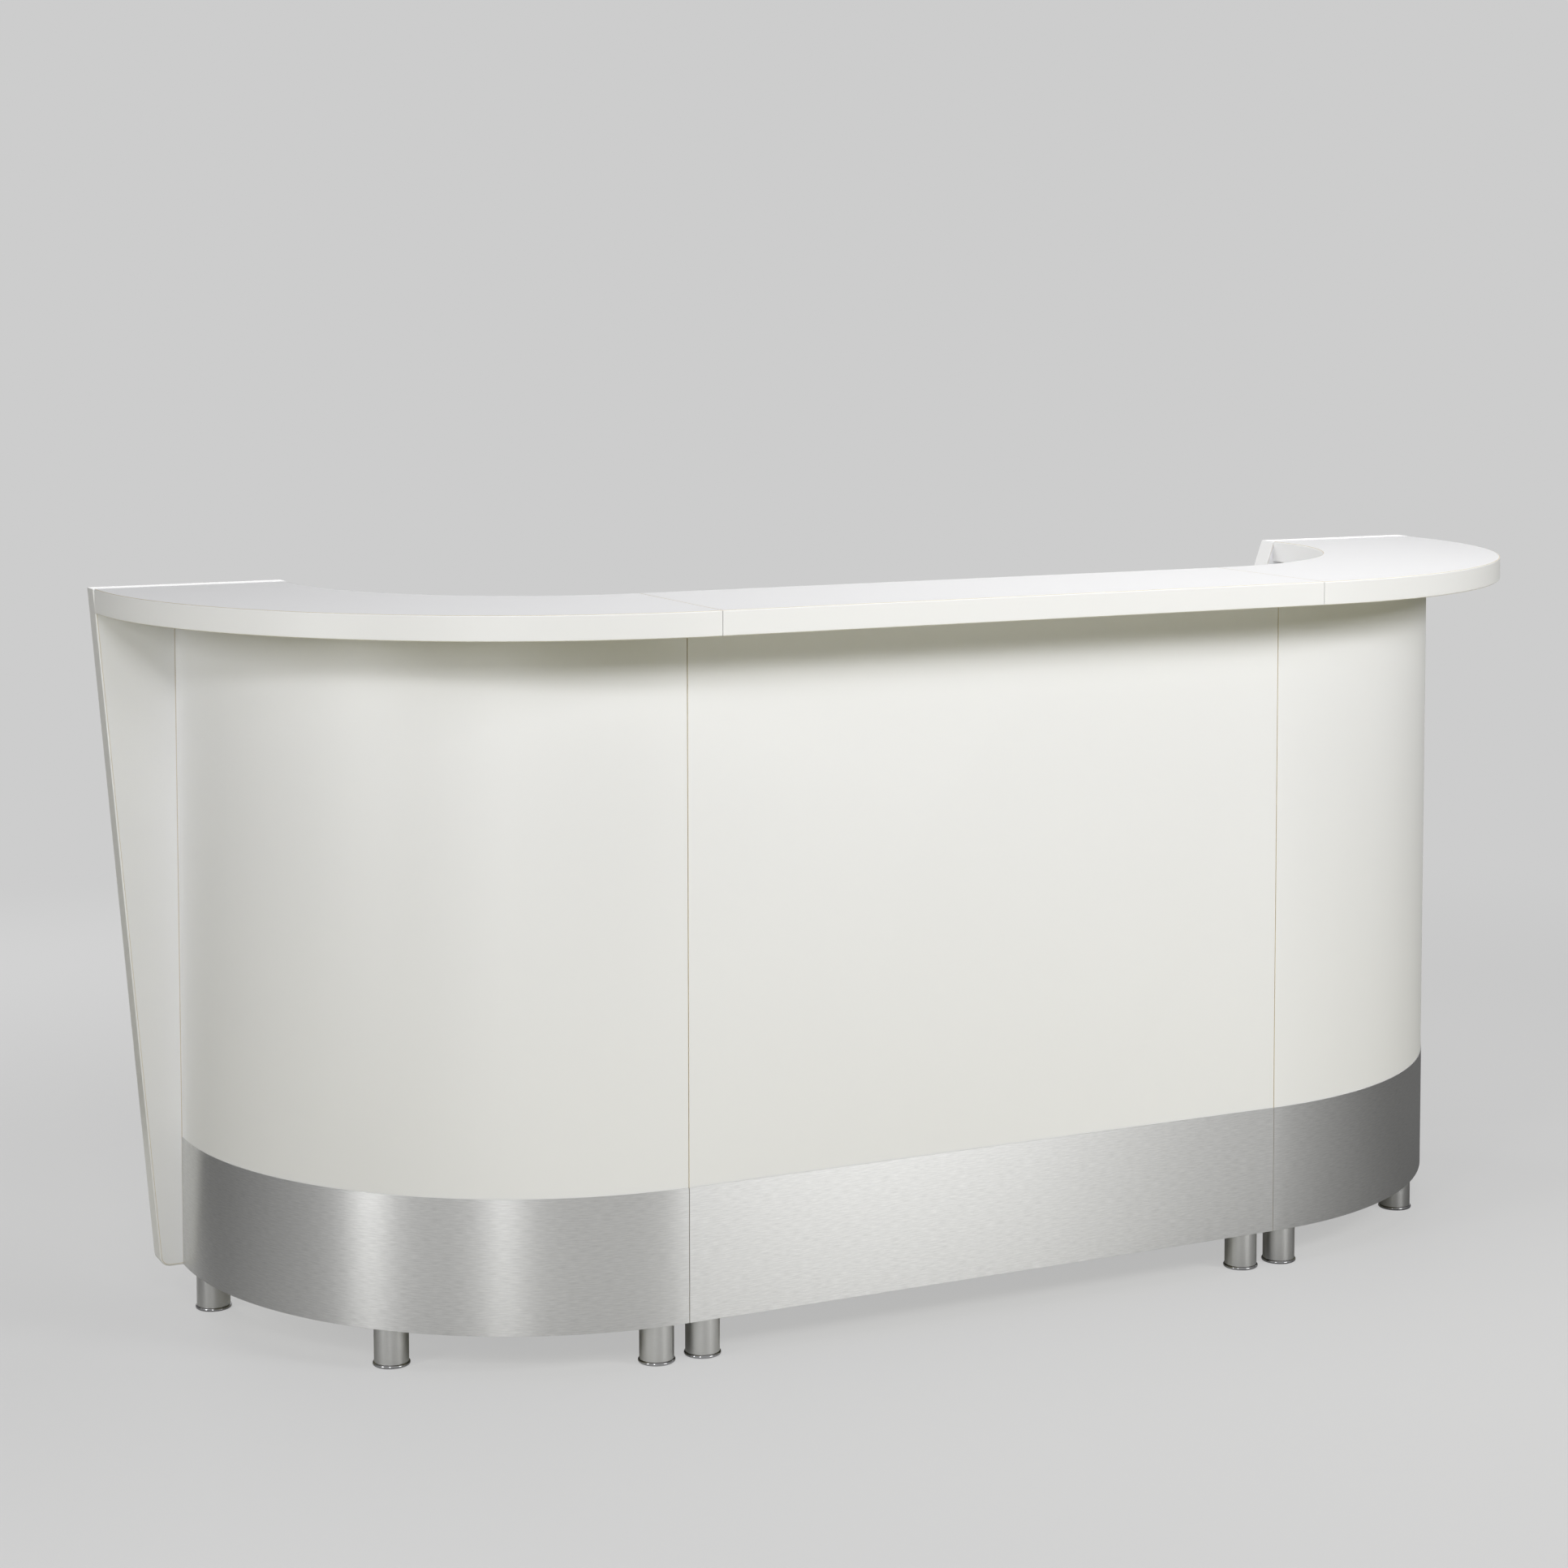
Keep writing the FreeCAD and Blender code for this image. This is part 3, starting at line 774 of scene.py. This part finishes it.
class BARCOUNTER_OT_end_gables(Operator):
    """Tapered gables at both ends, with an edge band all round"""

    bl_idname = "barcounter.end_gables"
    bl_label = "End Gables"

    def execute(self, context):
        sizes = context.scene.bar_counter_boards
        low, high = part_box("gable_edge_band_right")
        band = high.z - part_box("end_gable_right")[1].z
        joint = band - sizes.glue_line
        back_top = Extent("worktop_edge_band").inner
        back_bottom = back_top - sizes.back_slope * (high.z - low.z)
        corners = [Vector(corner) for corner in (
            (PANEL_X + sizes.gable_out_bottom, low.z), (high.x, high.z),
            (PANEL_X + back_top, high.z), (PANEL_X + back_bottom, low.z))]
        shape = shape_of(corners, [sizes.gable_corner, 0, 0, sizes.gable_corner])

        def row(inset, depth):
            return [along_counter(point, depth) for point in shape(inset)]

        front_arc = [(inset, low.y + depth) for depth, inset in easing(sizes.lipping_arris)]
        back_arc = [(inset, low.y + high.y - depth) for inset, depth in reversed(front_arc)]
        profile = [(band, low.y), (joint, low.y)] + front_arc + back_arc + [(joint, high.y), (band, high.y)]
        for side in SIDES:
            node = "end_gable_" + side
            # The gable's face gets a painted shade line beside the front panel
            mesh = self.with_painted_joint_shade(skin([row(band, low.y), row(band, high.y)]), low.y, sizes.joint_line)
            piece(node + "_board", on_side(mesh, side), FACE_WITH_JOINT_AND_SHADE, "white_laminate", node)

            mesh = skin([row(inset, depth) for inset, depth in profile], ring=True)
            for face in mesh.faces:
                levels = {round(corner.co.y, 6) for corner in face.verts}
                inside = min(self.reach(corner.co, corners) for corner in face.verts)
                face.material_index = int(len(levels) == 1 and inside > joint - JOINT_MARGIN)
            piece(node + "_lipping", on_side(mesh, side), ["glossy_lipping_face", "laminate_joint_line"],
                  "white_edge_band", "gable_edge_band_" + side)
        return {"FINISHED"}

    def with_painted_joint_shade(self, mesh, front, width):
        """A gable's surface with a painted shade line on its face beside the front panel, in the finish of
        the laminate's joints.
        """
        for edge in (PANEL_X, PANEL_X + width):
            parts = mesh.verts[:] + mesh.edges[:] + mesh.faces[:]
            bmesh.ops.bisect_plane(mesh, geom=parts, plane_co=(edge, 0, 0), plane_no=(1, 0, 0))
        for face in mesh.faces:
            middle = face.calc_center_median()
            in_line = PANEL_X < middle.x < PANEL_X + width
            face.material_index = int(in_line and abs(middle.y - front) < MERGE_DISTANCE)
        return mesh

    def reach(self, point, corners):
        """How far a point of the gable is inside its outline's sides."""
        flat = Vector((point.x, point.z))
        distances = []
        for index, corner in enumerate(corners):
            side = (corners[index - 1] - corner).normalized()
            distances.append(abs(side.cross(flat - corner)))
        return min(distances)


def feet(kind):
    """The twelve nodes of a kind, each with its centre in plan, radius, and lowest and highest level."""
    for foot in FOOT_PLACES:
        for side in SIDES:
            node = "%s_%s_%s" % (kind, foot, side)
            low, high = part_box(node)
            yield node, ((low + high) / 2).xy, (high.x - low.x) / 2, low.z, high.z


class BARCOUNTER_OT_foot_tubes(Operator):
    """Satin steel tubes of the twelve feet, each with a stud at its top"""

    bl_idname = "barcounter.foot_tubes"
    bl_label = "Foot Tubes"

    def execute(self, context):
        sizes = context.scene.bar_counter_steel
        ease = sizes.tube_arris
        board_bottom = PANEL_LOW.z
        disc_bottom = board_bottom - sizes.tube_top
        for node, centre, radius, low, high in feet("foot_tube"):
            bore = radius - sizes.tube_wall
            corners = [
                (0, high), (sizes.stud_radius, high), (sizes.stud_radius, board_bottom),
                (radius, board_bottom), (radius, low), (bore, low), (bore, disc_bottom), (0, disc_bottom),
            ]
            profile = turned_profile(corners, [0, ease, 0, ease, ease, ease, 0, 0])
            mesh = skin(turned_rows(profile, TURN_SEGMENTS, centre), capped=False)
            piece(node + "_steel", mesh, ["satin_tube_steel"], "satin_stainless", node)
        return {"FINISHED"}


class BARCOUNTER_OT_glides(Operator):
    """Polished levelling glides, each a flange on a threaded stud"""

    bl_idname = "barcounter.glides"
    bl_label = "Levelling Glides"

    def thread(self, sizes, height):
        """Radius of the stud's thread round the stud at a height."""
        def at(turn):
            phase = (height / sizes.stud_pitch - turn / math.tau) % 1.0
            return sizes.stud_radius - sizes.thread_depth * abs(2 * phase - 1)

        return at

    def execute(self, context):
        sizes = context.scene.bar_counter_steel
        ease = sizes.flange_rounding
        root = sizes.stud_radius - sizes.thread_depth
        step = sizes.stud_pitch / THREAD_STEPS
        for node, centre, radius, low, high in feet("glide"):
            top = low + sizes.flange_height
            corners = [(0, low), (radius, low), (radius, top), (root, top)]
            profile = turned_profile(corners, [0, ease, ease, 0])
            steps = int((high - top - sizes.stud_pitch) / step)
            levels = [top + step * index for index in range(1, steps + 1)]
            profile += [(self.thread(sizes, level), level) for level in levels[:-1]]
            profile += [(root, levels[-1]), (root - sizes.thread_depth, high), (0, high)]
            mesh = skin(turned_rows(profile, TURN_SEGMENTS, centre), capped=False)
            piece(node + "_steel", mesh, ["polished_glide_steel"], "polished_steel", node, node + "_foot")
        return {"FINISHED"}


# Roundings and recesses of the fittings, as shares of another size of theirs
PIN_EASE = 1 / 4
CONNECTOR_EASE = 1 / 3
UNDER_HEAD_EASE = 1 / 3
TIP_EASE = 1 / 2
SCREW_EASE = 0.6
RECESS_DEPTH = 1.2
BRACKET_EASE = 1 / 6
SOCKET_DEPTH = 2

# Sides of a hexagon socket, and how far its cutter stands out of the bolt's head, in metres
SOCKET_SIDES = 6
SOCKET_RISE = 1e-3

# How much of a fitting's length counts as its end
END_SHARE = 1 / 50


def solids_of(node):
    """Lists of the corners of the separate solids in a node."""
    mesh = bmesh.new()
    mesh.from_mesh(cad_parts[node].data)
    bmesh.ops.remove_doubles(mesh, verts=mesh.verts, dist=MERGE_DISTANCE)
    waiting = set(mesh.verts)
    solids = []
    while waiting:
        found = {waiting.pop()}
        edge = list(found)
        while edge:
            corner = edge.pop()
            fresh = {link.other_vert(corner) for link in corner.link_edges} - found
            found |= fresh
            edge += fresh
        waiting -= found
        solids.append([corner.co.copy() for corner in found])
    mesh.free()
    return sorted(solids, key=lambda corners: tuple(round(value, 4) for value in box_of(corners)[0]))


def box_of(corners):
    """Lowest and highest corner of a solid."""
    low = Vector([min(corner[axis] for corner in corners) for axis in range(3)])
    high = Vector([max(corner[axis] for corner in corners) for axis in range(3)])
    return low, high


def head_of(corners):
    """Where the head of a turned fitting ends, the way that it faces, its radius and whole length."""
    low, high = box_of(corners)
    size = high - low
    axis = max(range(3), key=lambda index: size[index])
    middle = (low + high) / 2
    reach = {low[axis]: 0.0, high[axis]: 0.0}
    for corner in corners:
        for end in reach:
            if abs(corner[axis] - end) < size[axis] * END_SHARE:
                out = corner - middle
                out[axis] = 0
                reach[end] = max(reach[end], out.length)
    head = max(reach, key=reach.get)
    direction = Vector((0, 0, 0))
    direction[axis] = math.copysign(1.0, head - middle[axis])
    seat = middle.copy()
    seat[axis] = head
    return seat, direction, reach[head], size[axis]


def scatter_tree():
    """Node tree that puts a fitting on every point, turned as the points say, in one finish."""
    name = "fittings_on_points"
    if name in bpy.data.node_groups:
        return bpy.data.node_groups[name]
    tree = bpy.data.node_groups.new(name, "GeometryNodeTree")
    tree.is_modifier = True
    for label, kind in (("Points", "NodeSocketGeometry"), ("Fitting", "NodeSocketObject"),
                        ("Size", "NodeSocketFloat"), ("Finish", "NodeSocketMaterial")):
        tree.interface.new_socket(name=label, in_out="INPUT", socket_type=kind)
    tree.interface.new_socket(name="Fittings", in_out="OUTPUT", socket_type="NodeSocketGeometry")
    given = add(tree, "NodeGroupInput").outputs
    fitting = add(tree, "GeometryNodeObjectInfo", {"Object": given["Fitting"]})
    turn = add(tree, "GeometryNodeInputNamedAttribute", {"Name": "turn"}, data_type="FLOAT_VECTOR")
    rotation = add(tree, "FunctionNodeEulerToRotation", {"Euler": turn.outputs["Attribute"]})
    spread_out = add(tree, "GeometryNodeInstanceOnPoints", {
        "Points": given["Points"], "Instance": fitting.outputs["Geometry"],
        "Rotation": rotation.outputs["Rotation"], "Scale": given["Size"]})
    solid = add(tree, "GeometryNodeRealizeInstances", {"Geometry": spread_out.outputs["Instances"]})
    coated = add(tree, "GeometryNodeSetMaterial", {
        "Geometry": solid.outputs["Geometry"], "Material": given["Finish"]})
    add(tree, "NodeGroupOutput", {"Fittings": coated.outputs["Geometry"]})
    return tree


def scattered(node, template, seats, finish_name="zinc_plated_steel", slot="zinc_steel"):
    """Copies of a fitting at their seats as one piece; a seat is a place and a turn."""
    points = bpy.data.meshes.new(node + "_set")
    points.from_pydata([seat for seat, _ in seats], [], [])
    turns = points.attributes.new("turn", "FLOAT_VECTOR", "POINT")
    for item, (_, turn) in zip(turns.data, seats):
        item.vector = turn
    made = linked(node + "_set", points)
    tree = scatter_tree()
    modifier = made.modifiers.new("fittings", "NODES")
    modifier.node_group = tree
    values = {"Fitting": template, "Size": 1.0, "Finish": finish(finish_name)}
    for item in tree.interface.items_tree:
        if item.in_out == "INPUT" and item.name in values:
            modifier[item.identifier] = values[item.name]
    settle(made)
    discard(template)
    stands_for(made, COUNTER, slot, node)


def carved(template, cutter):
    """A fitting with a recess cut into it."""
    tool = linked("recess", data_of("recess", closed(cutter)))
    cut = template.modifiers.new("recess", "BOOLEAN")
    cut.object = tool
    cut.operation = "DIFFERENCE"
    cut.solver = "EXACT"
    settle(template)
    discard(tool)
    return template


class BARCOUNTER_OT_fittings(Operator):
    """Shelf pins, connectors, brackets, screws, plugs and insert nuts"""

    bl_idname = "barcounter.fittings"
    bl_label = "Fittings"

    def headed(self, name, radius, span, head, shank, ease, bore=0.0):
        """Turned fitting that hangs from the top of its head at the origin."""
        corners = [(bore, 0), (radius, 0), (radius, -head), (shank, -head), (shank, -span), (bore, -span)]
        profile = turned_profile(corners, [0, ease, ease * UNDER_HEAD_EASE, 0, ease * TIP_EASE, 0])
        rows = turned_rows(profile, FITTING_SEGMENTS)
        return shaded(name, skin(rows, capped=False, ring=bore > 0), [])

    def along_heads(self, node):
        """Seats of the headed fittings of a node, with the radius and whole length that they share."""
        heads = [head_of(corners) for corners in solids_of(node)]
        seats = [(seat, facing.to_track_quat("Z", "Y").to_euler()) for seat, facing, _, _ in heads]
        return seats, heads[0][2], heads[0][3]

    def pins(self, sizes):
        """Pins under the shelves."""
        seats, radius, span = self.along_heads("shelf_pins")
        pin = self.headed("pin", radius, span, sizes.pin_head, sizes.pin_shank, radius * PIN_EASE)
        scattered("shelf_pins", pin, seats)

    def connectors(self, sizes):
        """Bolts with a hexagon socket, and the sleeves that they turn into."""
        head = sizes.bolt_head
        ease = head * CONNECTOR_EASE
        seats, radius, span = self.along_heads("connector_bolts")
        bolt = self.headed("bolt", radius, span, head, sizes.bolt_shank, ease)
        socket = [(sizes.bolt_socket, SOCKET_RISE), (sizes.bolt_socket, -SOCKET_DEPTH * head)]
        carved(bolt, skin(turned_rows(socket, SOCKET_SIDES)))
        scattered("connector_bolts", bolt, seats)
        seats, radius, span = self.along_heads("connector_sleeves")
        bore = sizes.bolt_shank + sizes.fit
        sleeve = self.headed("sleeve", radius, span, head, sizes.sleeve_barrel, ease, bore)
        scattered("connector_sleeves", sleeve, seats)

    def screws(self, sizes):
        """Screws of the brackets, with a cross recess."""
        head = sizes.screw_head
        seats, radius, span = self.along_heads("bracket_screws")
        screw = self.headed("screw", radius, span, head, sizes.screw_shank, head * SCREW_EASE)
        depth = head * RECESS_DEPTH
        for size in ((radius, sizes.recess_width, depth), (sizes.recess_width, radius, depth)):
            slot = bmesh.new()
            bmesh.ops.create_cube(slot, size=1.0, matrix=Matrix.LocRotScale(None, None, size))
            carved(screw, slot)
        scattered("bracket_screws", screw, seats)

    def brackets(self, sizes):
        """Angle brackets between the worktops and the uprights."""
        seats = []
        for corners in solids_of("worktop_brackets"):
            low, high = box_of(corners)
            middle = (low + high) / 2
            size = high - low
            lean = sum((corner - middle for corner in corners), Vector())
            axis = 0 if size.x > size.y else 1
            into = Vector((0, 0, 0))
            into[axis] = -math.copysign(1, lean[axis])
            seat = middle - into * size[axis] / 2
            seat.z = high.z
            seats.append((seat, (0, 0, math.atan2(into.y, into.x))))
        reach, width, leg = size[axis], size[1 - axis], size.z
        thick = sizes.bracket_thickness
        ease = thick * BRACKET_EASE
        corners = ((0, 0), (0, -leg), (thick, -leg), (thick, -thick), (reach, -thick), (reach, 0))
        bend = sizes.bracket_bend
        shape = shape_of(corners, [bend + thick / 2, ease, ease, bend, ease, ease])
        rows = slab_rows(shape, -width / 2, width, ease, along_counter)
        scattered("worktop_brackets", shaded("bracket", skin(rows), []), seats)

    def collars(self, sizes, node, finish_name, slot):
        """Rings about an upright stud: the nylon plugs in the tubes, or the nuts in the base panels."""
        boxes = [box_of(corners) for corners in solids_of(node)]
        size = boxes[0][1] - boxes[0][0]
        radius = size.x / 2
        bore = sizes.stud_radius + sizes.fit
        ease = sizes.tube_arris
        corners = [(bore, 0), (radius, 0), (radius, size.z), (bore, size.z)]
        rows = turned_rows(turned_profile(corners, [0, ease, ease, 0]), TURN_SEGMENTS)
        collar = shaded("collar", skin(rows, ring=True), [])
        seats = [(((low.x + high.x) / 2, (low.y + high.y) / 2, low.z), (0, 0, 0)) for low, high in boxes]
        scattered(node, collar, seats, finish_name, slot)

    def execute(self, context):
        sizes = context.scene.bar_counter_steel
        self.pins(sizes)
        self.connectors(sizes)
        self.screws(sizes)
        self.brackets(sizes)
        self.collars(sizes, "foot_plugs", "black_moulded_nylon", "black_nylon")
        self.collars(sizes, "insert_nuts", "zinc_plated_steel", "zinc_steel")
        return {"FINISHED"}


# The studio as steel shows it, bright in front: by the cosine of the angle from straight in front
FRONT_AZIMUTH = math.radians(-23)
FRONT = (math.sin(FRONT_AZIMUTH), -math.cos(FRONT_AZIMUTH), 0.0)
DARK_UNTIL = -0.4
BRIGHT_FROM = 0.75

# The floor: its size, its room below the feet, and where its own shade and the painted paler patch that
# steel shows on its working side fade out
FLOOR_REACH = 40.0
FLOOR_DROP = 0.0002
SHADE_FADE = (1.6, 4.0)
WORKING_SIDE = (0.0, 1.0, 0.0)
WORKING_FADE = (1.2, 1.5)

SENSOR_WIDTH = 36.0

# Softboxes that light the counter: power in watts, place, point that they face, and size.
# The one at the rear has a narrow fan and is turned to the inner edges at the right.
LAMP_AIM = (0.1, -0.1, 0.65)
INNER_EDGE = (0.95, 0.3, 0.95)
REAR_FAN = math.radians(90)
SOFTBOXES = {
    "near": (23.4, (1.45, -2.95, 2.6), LAMP_AIM, (0.8, 0.8)),
    "right": (85.3, (2.6, -3.4, 2.7), LAMP_AIM, (1.0, 1.2)),
    "front": (26.9, (-1.0, -4.6, 3.6), LAMP_AIM, (1.0, 0.9)),
    "left": (32.7, (-1.9, -3.9, 2.8), LAMP_AIM, (0.6, 0.6)),
    "corner": (21.6, (-2.9, -2.6, 2.9), LAMP_AIM, (0.45, 0.45)),
    "side": (50, (-4.1, -1.2, 2.0), LAMP_AIM, (0.9, 1.4)),
    "top": (28.2, (0.4, -0.3, 2.95), LAMP_AIM, (1.6, 1.1)),
    "back": (26, (2.6, 2.8, 3.0), LAMP_AIM, (1.6, 1.6)),
    "fill": (95, (-1.2, 4.4, 1.15), LAMP_AIM, (1.8, 1.1)),
    "rear": (2.0, (-0.7, 1.7, 1.05), INNER_EDGE, (0.6, 0.6)),
}

# Strips that only show as reflections, listed in the same way; the rear one shows in the gables' tops
STRIPS = {
    "strip_left": (12.9, (-3.41, -0.8, 0.95), (-0.8, -0.1, 0.95), (0.42, 1.7)),
    "strip_middle": (8.8, (-2.15, -2.37, 0.95), (-0.8, -0.1, 0.95), (0.34, 1.7)),
    "strip_right": (16.2, (1.3, -3.3, 0.575), (0.0, -0.25, 0.575), (1.15, 0.95)),
    "strip_rear": (18, (2.3, 5.2, 1.6), (0.2, 0.36, 1.09), (6.0, 0.8)),
}


def seen_rays(tree):
    """1 for rays from the camera, from metal and through glass, and the same for the camera alone."""
    path = add(tree, "ShaderNodeLightPath").outputs
    seen = maths(tree, "MAXIMUM", path["Is Camera Ray"], path["Is Glossy Ray"])
    return maths(tree, "MAXIMUM", seen, path["Is Transmission Ray"]), path["Is Camera Ray"]


def studio_shade(tree, direction, settings, camera_ray):
    """Brightness of the studio in a direction: full for the camera, and in steel bright in front."""
    flat = on_vectors(tree, "MULTIPLY", "Vector", direction, (1.0, 1.0, 0.0))
    unit = on_vectors(tree, "NORMALIZE", "Vector", flat)
    facing = on_vectors(tree, "DOT_PRODUCT", "Value", unit, FRONT)
    shade = faded(tree, facing, DARK_UNTIL, BRIGHT_FROM, settings.dark_share, settings.bright_share)
    return maths(tree, "MAXIMUM", shade, camera_ray)


class BARCOUNTER_OT_studio(Operator):
    """Floor, backdrop, softboxes and camera"""

    bl_idname = "barcounter.studio"
    bl_label = "Studio"

    def world(self, scene, settings):
        """Pale backdrop, which gives no light of its own."""
        world = bpy.data.worlds.new("studio")
        scene.world = world
        world.use_nodes = True
        tree = world.node_tree
        tree.nodes.clear()
        seen, camera_ray = seen_rays(tree)
        direction = add(tree, "ShaderNodeTexCoord").outputs["Generated"]
        shade = studio_shade(tree, direction, settings, camera_ray)
        dark = add(tree, "ShaderNodeBackground", {"Strength": 0.0}).outputs["Background"]
        backdrop = add(tree, "ShaderNodeBackground", {
            "Color": tinted(settings.backdrop, 1), "Strength": shade}).outputs["Background"]
        add(tree, "ShaderNodeOutputWorld", {"Surface": blend(tree, seen, dark, backdrop)})

    def floor(self, settings):
        """Pale floor that keeps the counter's shadow and fades into the backdrop; in steel it shows a
        painted pool of light, dark at the sides and behind, with a painted paler patch on the working side.
        """
        material = bpy.data.materials.new("pale_floor")
        material.use_nodes = True
        tree = material.node_tree
        tree.nodes.clear()
        seen, camera_ray = seen_rays(tree)
        where = add(tree, "ShaderNodeTexCoord").outputs["Object"]
        # For steel the floor's colour is darkened by its place: a painted pool of light, bright in front
        shade = studio_shade(tree, where, settings, camera_ray)
        # A painted paler patch on the working side, which the feet show from behind
        to_working_side = on_vectors(tree, "DISTANCE", "Value", where, WORKING_SIDE)
        behind = faded(tree, to_working_side, *WORKING_FADE, settings.behind_share, 0.0)
        shade = maths(tree, "MAXIMUM", shade, behind)
        near = faded(tree, on_vectors(tree, "LENGTH", "Value", where), *SHADE_FADE, 1.0, 0.0)
        weight = spread(tree, camera_ray, settings.reflected_share, settings.shadow_share)
        near = maths(tree, "MULTIPLY", near, weight)
        # The floor's colour times that painted shade, as steel shows it
        own = add(tree, "ShaderNodeVectorMath", {0: settings.floor, "Scale": shade}, operation="SCALE")
        lit = add(tree, "ShaderNodeBsdfDiffuse", {"Color": own.outputs["Vector"]}).outputs["BSDF"]
        even = add(tree, "ShaderNodeEmission", {
            "Color": tinted(settings.backdrop, 1), "Strength": shade}).outputs["Emission"]
        bounce = add(tree, "ShaderNodeBsdfDiffuse", {"Color": tinted(settings.bounce, 1)}).outputs["BSDF"]
        top = blend(tree, seen, bounce, blend(tree, near, even, lit))
        clear = add(tree, "ShaderNodeBsdfTransparent").outputs["BSDF"]
        below = add(tree, "ShaderNodeNewGeometry").outputs["Backfacing"]
        add(tree, "ShaderNodeOutputMaterial", {"Surface": blend(tree, below, top, clear)})
        plane = bmesh.new()
        bmesh.ops.create_grid(plane, x_segments=1, y_segments=1, size=FLOOR_REACH)
        floor = linked("studio_floor", data_of("studio_floor", plane))
        floor.data.materials.append(material)
        floor.location.z = CAD_BOX[0].z - FLOOR_DROP

    def softbox(self, name, strength, where, aim, size):
        """Rectangular lamp, out of the camera's sight."""
        data = bpy.data.lights.new(name, "AREA")
        data.shape = "RECTANGLE"
        data.size, data.size_y = size
        data.energy = strength
        lamp = linked(name, data)
        lamp.location = where
        lamp.rotation_euler = (Vector(aim) - Vector(where)).to_track_quat("-Z", "Y").to_euler()
        lamp.visible_camera = False
        return lamp

    def camera(self, scene, settings):
        """Camera at the customer's left."""
        data = bpy.data.cameras.new("camera")
        data.sensor_width = SENSOR_WIDTH
        data.lens = settings.camera_lens
        data.shift_x = -settings.camera_left
        data.shift_y = -settings.camera_drop
        camera = linked("camera", data)
        turn = Matrix.Rotation(-settings.camera_heading, 3, "Z")
        turn = turn @ Matrix.Rotation(math.pi / 2 - settings.camera_dip, 3, "X")
        turn = turn @ Matrix.Rotation(-settings.camera_roll, 3, "Z")
        camera.location = settings.camera_place
        camera.rotation_euler = turn.to_euler()
        scene.camera = camera

    def execute(self, context):
        scene = context.scene
        settings = scene.bar_counter_studio
        scene.view_settings.view_transform = "Standard"
        self.world(scene, settings)
        self.floor(settings)
        for name, layout in SOFTBOXES.items():
            lamp = self.softbox(name + "_softbox", *layout)
            lamp.visible_glossy = False
            if name == "top":
                lamp.data.color = settings.overhead
            if name == "rear":
                lamp.data.spread = REAR_FAN
        for name, layout in STRIPS.items():
            lamp = self.softbox(name, *layout)
            lamp.visible_diffuse = False
        self.camera(scene, settings)
        return {"FINISHED"}


BUILD_STEPS = (
    BARCOUNTER_OT_worktops,
    BARCOUNTER_OT_front_panels,
    BARCOUNTER_OT_kick_plates,
    BARCOUNTER_OT_end_gables,
    BARCOUNTER_OT_side_panels,
    BARCOUNTER_OT_base_panels,
    BARCOUNTER_OT_shelves,
    BARCOUNTER_OT_foot_tubes,
    BARCOUNTER_OT_glides,
    BARCOUNTER_OT_fittings,
    BARCOUNTER_OT_studio,
)

SETTINGS = {
    "bar_counter_boards": BoardSizes,
    "bar_counter_steel": SteelSizes,
    "bar_counter_finishes": Finishes,
    "bar_counter_studio": StudioSettings,
}


class VIEW3D_PT_bar_counter(Panel):
    """Steps that build the bar counter"""

    bl_label = "Bar Counter"
    bl_space_type = "VIEW_3D"
    bl_region_type = "UI"
    bl_category = "Bar Counter"

    def draw(self, context):
        column = self.layout.column(align=True)
        for step in BUILD_STEPS:
            column.operator(step.bl_idname)


def register():
    for group in SETTINGS.values():
        bpy.utils.register_class(group)
    for name, group in SETTINGS.items():
        setattr(bpy.types.Scene, name, PointerProperty(type=group))
    for step in BUILD_STEPS:
        bpy.utils.register_class(step)
    bpy.utils.register_class(VIEW3D_PT_bar_counter)


def unregister():
    bpy.utils.unregister_class(VIEW3D_PT_bar_counter)
    for step in reversed(BUILD_STEPS):
        bpy.utils.unregister_class(step)
    for name in SETTINGS:
        delattr(bpy.types.Scene, name)
    for group in reversed(list(SETTINGS.values())):
        bpy.utils.unregister_class(group)


def main():
    register()
    bpy.ops.barcounter.worktops()
    bpy.ops.barcounter.front_panels()
    bpy.ops.barcounter.kick_plates()
    bpy.ops.barcounter.end_gables()
    bpy.ops.barcounter.side_panels()
    bpy.ops.barcounter.base_panels()
    bpy.ops.barcounter.shelves()
    bpy.ops.barcounter.foot_tubes()
    bpy.ops.barcounter.glides()
    bpy.ops.barcounter.fittings()
    bpy.ops.barcounter.studio()


if __name__ == "__main__":
    main()
